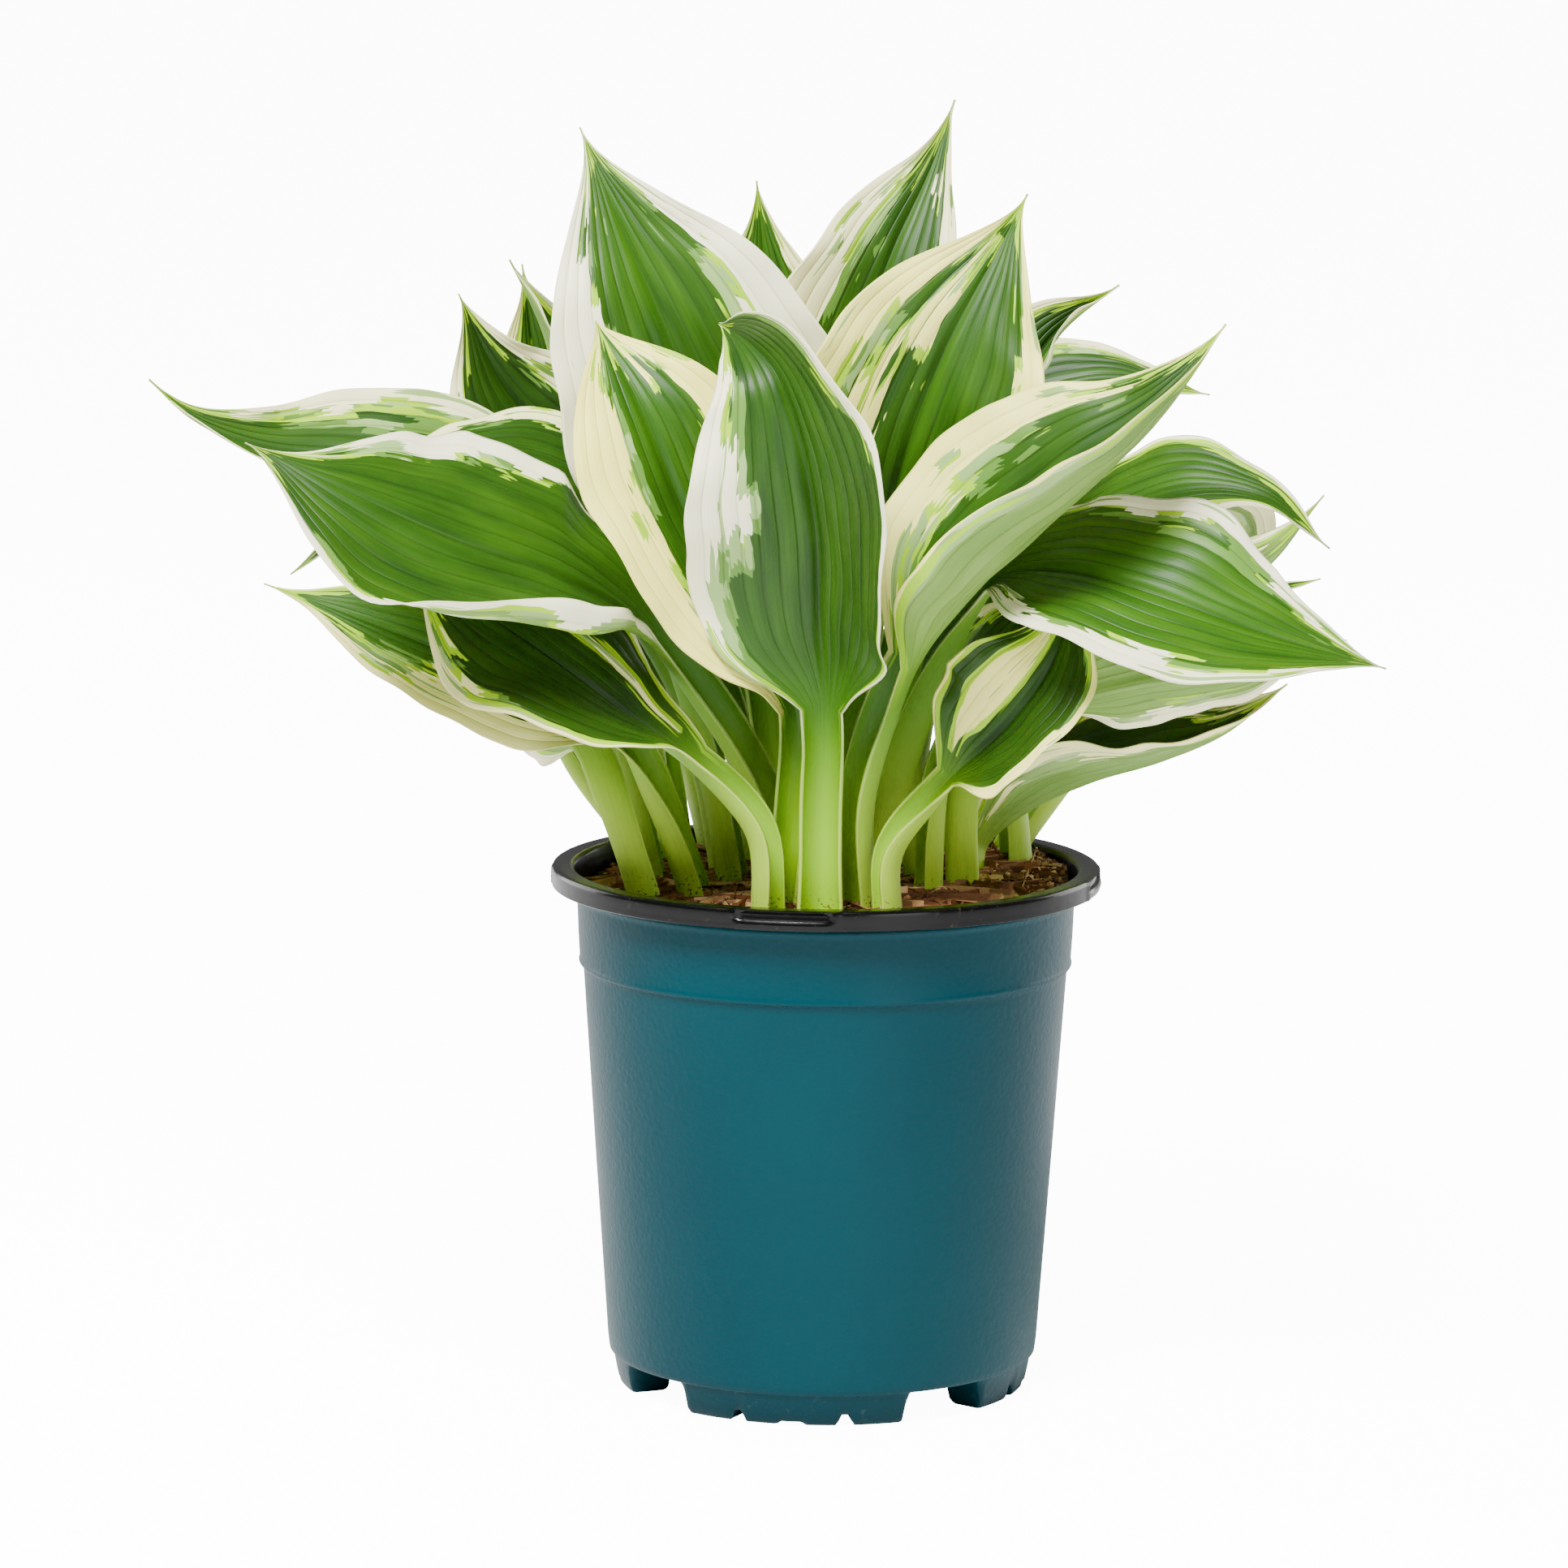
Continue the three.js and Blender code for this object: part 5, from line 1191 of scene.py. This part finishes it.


# %% [markdown]
# The teal side is satin, with the fine orange-peel skin that a textured mould leaves.  Towards
# its feet it is painted darker, as painted shade near the floor, and the feet are a touch
# scuffed.  The black side is the same sheet, smoother, and glossy on the rim.  The fine lines
# that run round the rim come from drawing the hot sheet in.


# %% The pot's two materials
def moulded_skin_group():
    """The orange-peel height, slow clouds of colour and dust, shared by both sides."""
    tree, given, out = new_group("moulded_skin", {"Place": "Vector", "Size": "Float"},
                                 {"Height": "Float", "Cloud": "Float", "Dust": "Float"})
    peel = add_node(tree, "ShaderNodeTexVoronoi", {"Vector": given["Place"], "Scale": given["Size"]},
                    feature="SMOOTH_F1").outputs["Distance"]
    fine = grain(tree, given["Place"], 2100.0, 2.0)
    tree.links.new(scaled(tree, fine, 0.5, peel), out["Height"])
    tree.links.new(grain(tree, given["Place"], 16.0, 4.0), out["Cloud"])
    tree.links.new(grain(tree, given["Place"], 420.0, 3.0), out["Dust"])
    return tree


def teal_material(skin):
    material, tree, shader = new_material("teal_sheet", {"Specular IOR Level": 0.1})
    place = object_coordinates(tree)
    moulded = use_group(tree, skin, {"Place": place, "Size": 620.0})
    paint = blend(tree, moulded["Cloud"], (0, 45, 54), (0, 57, 65))
    # Darker towards the bottom: painted shade where the feet stand on the floor.
    low = reckon(tree, "SUBTRACT", 1.0, step_between(tree, height_of(tree, place), 0.001, 0.014))
    paint = blend(tree, scaled(tree, low, 0.6), paint, (0, 30, 37))
    scuffs = scaled(tree, step_between(tree, moulded["Dust"], 0.62, 0.72), low)
    paint = blend(tree, scaled(tree, scuffs, 0.06), paint, (120, 140, 136))
    roughness = scaled(tree, moulded["Cloud"], 0.14, 0.3)
    give_skin(tree, shader, paint, roughness, moulded["Height"], 0.35, 0.0003)
    return material


def black_material(skin):
    material, tree, shader = new_material("black_sheet", {"Specular IOR Level": 0.22})
    place = object_coordinates(tree)
    moulded = use_group(tree, skin, {"Place": place, "Size": 300.0})
    paint = blend(tree, moulded["Cloud"], (1, 1, 1), (6, 6, 7))
    dusty = scaled(tree, step_between(tree, moulded["Dust"], 0.6, 0.74), 0.12)
    paint = blend(tree, dusty, paint, (98, 84, 70))
    lines = grain(tree, stretched(tree, place, (4, 4, 900)), 1.0, 2.0)
    roughness = scaled(tree, lines, 0.1, 0.16)
    height = scaled(tree, lines, 0.3, moulded["Height"])
    give_skin(tree, shader, paint, roughness, height, 0.2, 0.0002)
    return material


moulded_skin = moulded_skin_group()
pot_finishes = [teal_material(moulded_skin), black_material(moulded_skin)]
pot = finish_piece("nursery_pot", pot_mesh(), pot_finishes, ["pot"])
print("pot faces:", len(pot.data.polygons))

# %% [markdown]
# ## The soil
#
# Potting mix is not a smooth brown disc.  It is a mound of crumbs, so the filling is turned
# like the pot, and its top is then roughened with layers of noise, from coarse lumps to fine
# crumbs.  Chips of bark and pale fibres are strewn over it, as two more meshes.

# %% The soil's height and its mound
SOIL_RADIUS = 71.6
SOIL_BASE = 10.4
SOIL_HEIGHT = 149.8
SOIL_MOUND = 2.0
SOIL_TILT = (3.2, 2.6)
SOIL_SIDE = 142.0
SOIL_BELOW = [(0, SOIL_BASE), (58, SOIL_BASE), (61.8, 14), (69.6, 125), (70.4, 128), (70.9, SOIL_SIDE)]
SOIL_RINGS = 58
SOIL_STEPS = 216
ROUGHNESS = ((1.5, 0.07, 0), (1.1, 0.19, 5), (1.3, 0.45, 0), (1.1, 1.1, 0))


def soil_height(x, y):
    """The mound: nearly up to the rim on the right, lower at the left, and roughened by
    layers of noise, each with its height and its pace."""
    reach = math.hypot(x, y) / SOIL_RADIUS
    mound = SOIL_HEIGHT + SOIL_MOUND * (1 - reach**2)
    mound += (SOIL_TILT[0] * x + SOIL_TILT[1] * y) / SOIL_RADIUS
    for height, pace, shift in ROUGHNESS:
        mound += height * noise.noise(Vector((x, y, 0)) * pace + Vector((shift, 0, 0)))
    return mound


def soil_mesh():
    top = [(SOIL_RADIUS * (1 - ring / SOIL_RINGS), SOIL_HEIGHT) for ring in range(SOIL_RINGS + 1)]
    shape = spun(SOIL_BELOW + top, SOIL_STEPS)
    for vert in shape.verts:
        if vert.co.z > SOIL_SIDE + 1:
            vert.co.z = soil_height(vert.co.x, vert.co.y)
    for face in shape.faces:
        face.smooth = True
    into_frame(shape)
    return mesh_from(shape, "potting_soil")


def soil_material():
    material, tree, shader = new_material("peat_and_bark", {"Specular IOR Level": 0.25})
    place = object_coordinates(tree)
    crumbs = grain(tree, place, 420.0, 5.0, 0.7)
    patches = grain(tree, place, 90.0, 3.0)
    dark = blend(tree, patches, (18, 10, 6), (56, 34, 20))
    brown = blend(tree, step_between(tree, crumbs, 0.42, 0.66), dark, (146, 100, 64))
    roughness = scaled(tree, patches, 0.2, 0.78)
    give_skin(tree, shader, brown, roughness, crumbs, 1.0, 0.003)
    return material


soil = finish_piece("potting_soil", soil_mesh(), [soil_material()], ["soil"])
print("soil faces:", len(soil.data.polygons))

# %% [markdown]
# The bits are made from two shapes with few faces: a lumpy crumb and a thin three-sided
# fibre.  Each is made once and then doubled, again and again, until there are enough, which
# is much quicker than making thousands one by one.  A seeded draw then sizes, turns and
# places each copy, and seeded noise dents it, so that the mound is the same every time.

# %% Bark chips and fibres
CHIP_DOUBLINGS = 13
FIBRE_DOUBLINGS = 11
CHIP_SEED = 11
FIBRE_SEED = 12
STREWN_RADIUS = SOIL_RADIUS - 1.5
LIES_ABOVE = 0.35
TILT_SPREAD = 0.9
LUMP = 0.25
LUMP_PACE = 0.9


def doubled(shape, times):
    """The shape's points, copied over themselves 2**times, as an array of equal copies."""
    count = len(shape.verts)
    for _ in range(times):
        bmesh.ops.duplicate(shape, geom=shape.verts[:] + shape.edges[:] + shape.faces[:])
    return np.array([vert.co for vert in shape.verts]).reshape(2**times, count, 3)


def strewn(draw):
    """A random place on the mound, evenly spread over it."""
    radius = STREWN_RADIUS * math.sqrt(draw.random())
    angle = draw.uniform(0, 2 * math.pi)
    x, y = radius * math.cos(angle), radius * math.sin(angle)
    return x, y, soil_height(x, y) + LIES_ABOVE


def chip_size(draw):
    length = 0.7 + 2.7 * draw.random() ** 3
    return length, length * draw.uniform(0.4, 0.9), length * draw.uniform(0.4, 0.8)


def fibre_size(draw):
    return 1.5 + 6 * draw.random() ** 2, draw.uniform(0.2, 0.4), draw.uniform(0.2, 0.4)


def strew(shape, draw, times, size, shades):
    """Every copy sized, tilted, turned and put down, with its own shade."""
    copies = doubled(shape, times)
    shade = shape.verts.layers.float.new("shade")
    shape.verts.ensure_lookup_table()
    for number, copy in enumerate(copies):
        turn = Matrix.Rotation(draw.uniform(0, 6.28), 3, "Z")
        turn = turn @ Matrix.Rotation(draw.gauss(0, TILT_SPREAD), 3, "Y")
        placed = (copy * size(draw)) @ np.array(turn).T + np.array(strewn(draw))
        tone = draw.uniform(*shades)
        for vert, place in zip(shape.verts[number * len(copy):(number + 1) * len(copy)], placed):
            vert.co = Vector(place) + noise.noise_vector(Vector(place) * LUMP_PACE) * LUMP
            vert[shade] = tone


def bits_mesh(name, make, times, size, shades, seed):
    """All the bits of one kind: the seed is for the draws and for the noise that dents them."""
    shape = bmesh.new()
    make(shape)
    noise.seed_set(seed)
    strew(shape, random.Random(seed), times, size, shades)
    into_frame(shape)
    return mesh_from(shape, name)


def chip(shape):
    bmesh.ops.create_icosphere(shape, subdivisions=1, radius=0.5)


def fibre(shape):
    bmesh.ops.create_cone(shape, segments=3, radius1=0.5, radius2=0.3, depth=1, cap_ends=True,
                          matrix=Matrix.Rotation(math.pi / 2, 4, "Y"))


def bits_material():
    material, tree, shader = new_material("bark", {"Specular IOR Level": 0.3})
    tone = stored(tree, "shade")
    fine = grain(tree, object_coordinates(tree), 1500.0, 3.0)
    bark = blend(tree, step_between(tree, tone, 0.0, 0.6), (30, 16, 9), (142, 90, 52))
    bark = blend(tree, step_between(tree, tone, 0.6, 1.0), bark, (232, 186, 130))
    bark = blend(tree, scaled(tree, fine, 0.35), bark, (34, 20, 12))
    roughness = scaled(tree, fine, 0.2, 0.7)
    give_skin(tree, shader, bark, roughness, fine, 0.6, 0.0004)
    return material


bark = bits_material()
chips = bits_mesh("bark_chips", chip, CHIP_DOUBLINGS, chip_size, (0.0, 0.95), CHIP_SEED)
fibres = bits_mesh("pale_fibres", fibre, FIBRE_DOUBLINGS, fibre_size, (0.4, 1.0), FIBRE_SEED)
finish_piece("bark_chips", chips, [bark])
finish_piece("pale_fibres", fibres, [bark])
print("chips:", 2**CHIP_DOUBLINGS, "fibres:", 2**FIBRE_DOUBLINGS)

# %% [markdown]
# ## Floor and light
#
# The photograph is a studio picture on white, lit softly from in front and above, with a
# bright edge down each side of the pot.  A wide pale floor, a large light above the
# camera, a weaker one low at the right, one behind the plant on each side and a faint
# surround give the same light.  The floor and the surround also glow, but only for the
# camera, as overexposed white paper does.

# %% Floor
FLOOR_GLOW = 12.0
FLOOR_HALF = 14


def floor_material():
    material, tree, shader = new_material("pale_floor", {"Roughness": 0.9, "Specular IOR Level": 0.1})
    paper = grain(tree, object_coordinates(tree), 40.0, 3.0)
    paint = blend(tree, paper, (250, 250, 250), (255, 255, 255))
    tree.links.new(paint, shader.inputs["Base Color"])
    seen = add_node(tree, "ShaderNodeLightPath").outputs["Is Camera Ray"]
    tree.links.new(scaled(tree, seen, FLOOR_GLOW), shader.inputs["Emission Strength"])
    shader.inputs["Emission Color"].default_value = (1, 1, 1, 1)
    return material


floor_shape = bmesh.new()
bmesh.ops.create_grid(floor_shape, x_segments=2, y_segments=2, size=FLOOR_HALF)
floor = bpy.data.objects.new("floor", mesh_from(floor_shape, "floor"))
floor.data.materials.append(floor_material())
bpy.context.collection.objects.link(floor)


# %% Lights
def soft_light(name, place, target, size, power):
    data = bpy.data.lights.new(name, "AREA")
    data.shape = "RECTANGLE"
    data.size, data.size_y = size
    data.energy = power
    lamp = bpy.data.objects.new(name, data)
    lamp.location = place
    lamp.rotation_euler = (Vector(target) - Vector(place)).to_track_quat("-Z", "Y").to_euler()
    bpy.context.collection.objects.link(lamp)


MIDDLE = (0, 0, 0.2)
soft_light("key", (-0.5, -1.2, 1.9), MIDDLE, (0.9, 0.8), 136)
soft_light("fill", (1.1, -1.9, 0.5), MIDDLE, (0.9, 0.9), 14)
soft_light("left_edge", (-1.7, 1.3, 0.6), MIDDLE, (1.5, 1.5), 40)
soft_light("right_edge", (1.7, 1.3, 0.6), MIDDLE, (1.5, 1.5), 40)

SURROUND = 0.24
SEEN_SURROUND = 14.0


def studio_world():
    world = bpy.data.worlds.new("studio")
    world.use_nodes = True
    tree = world.node_tree
    shader = tree.nodes["Background"]
    shader.inputs["Color"].default_value = (1, 1, 1, 1)
    seen = add_node(tree, "ShaderNodeLightPath").outputs["Is Camera Ray"]
    strength = scaled(tree, seen, SEEN_SURROUND - SURROUND, SURROUND)
    tree.links.new(strength, shader.inputs["Strength"])
    return world


bpy.context.scene.world = studio_world()

# %% [markdown]
# ## The end
#
# The last cell says only that the scene is built.

# %% Done
print("scene built")
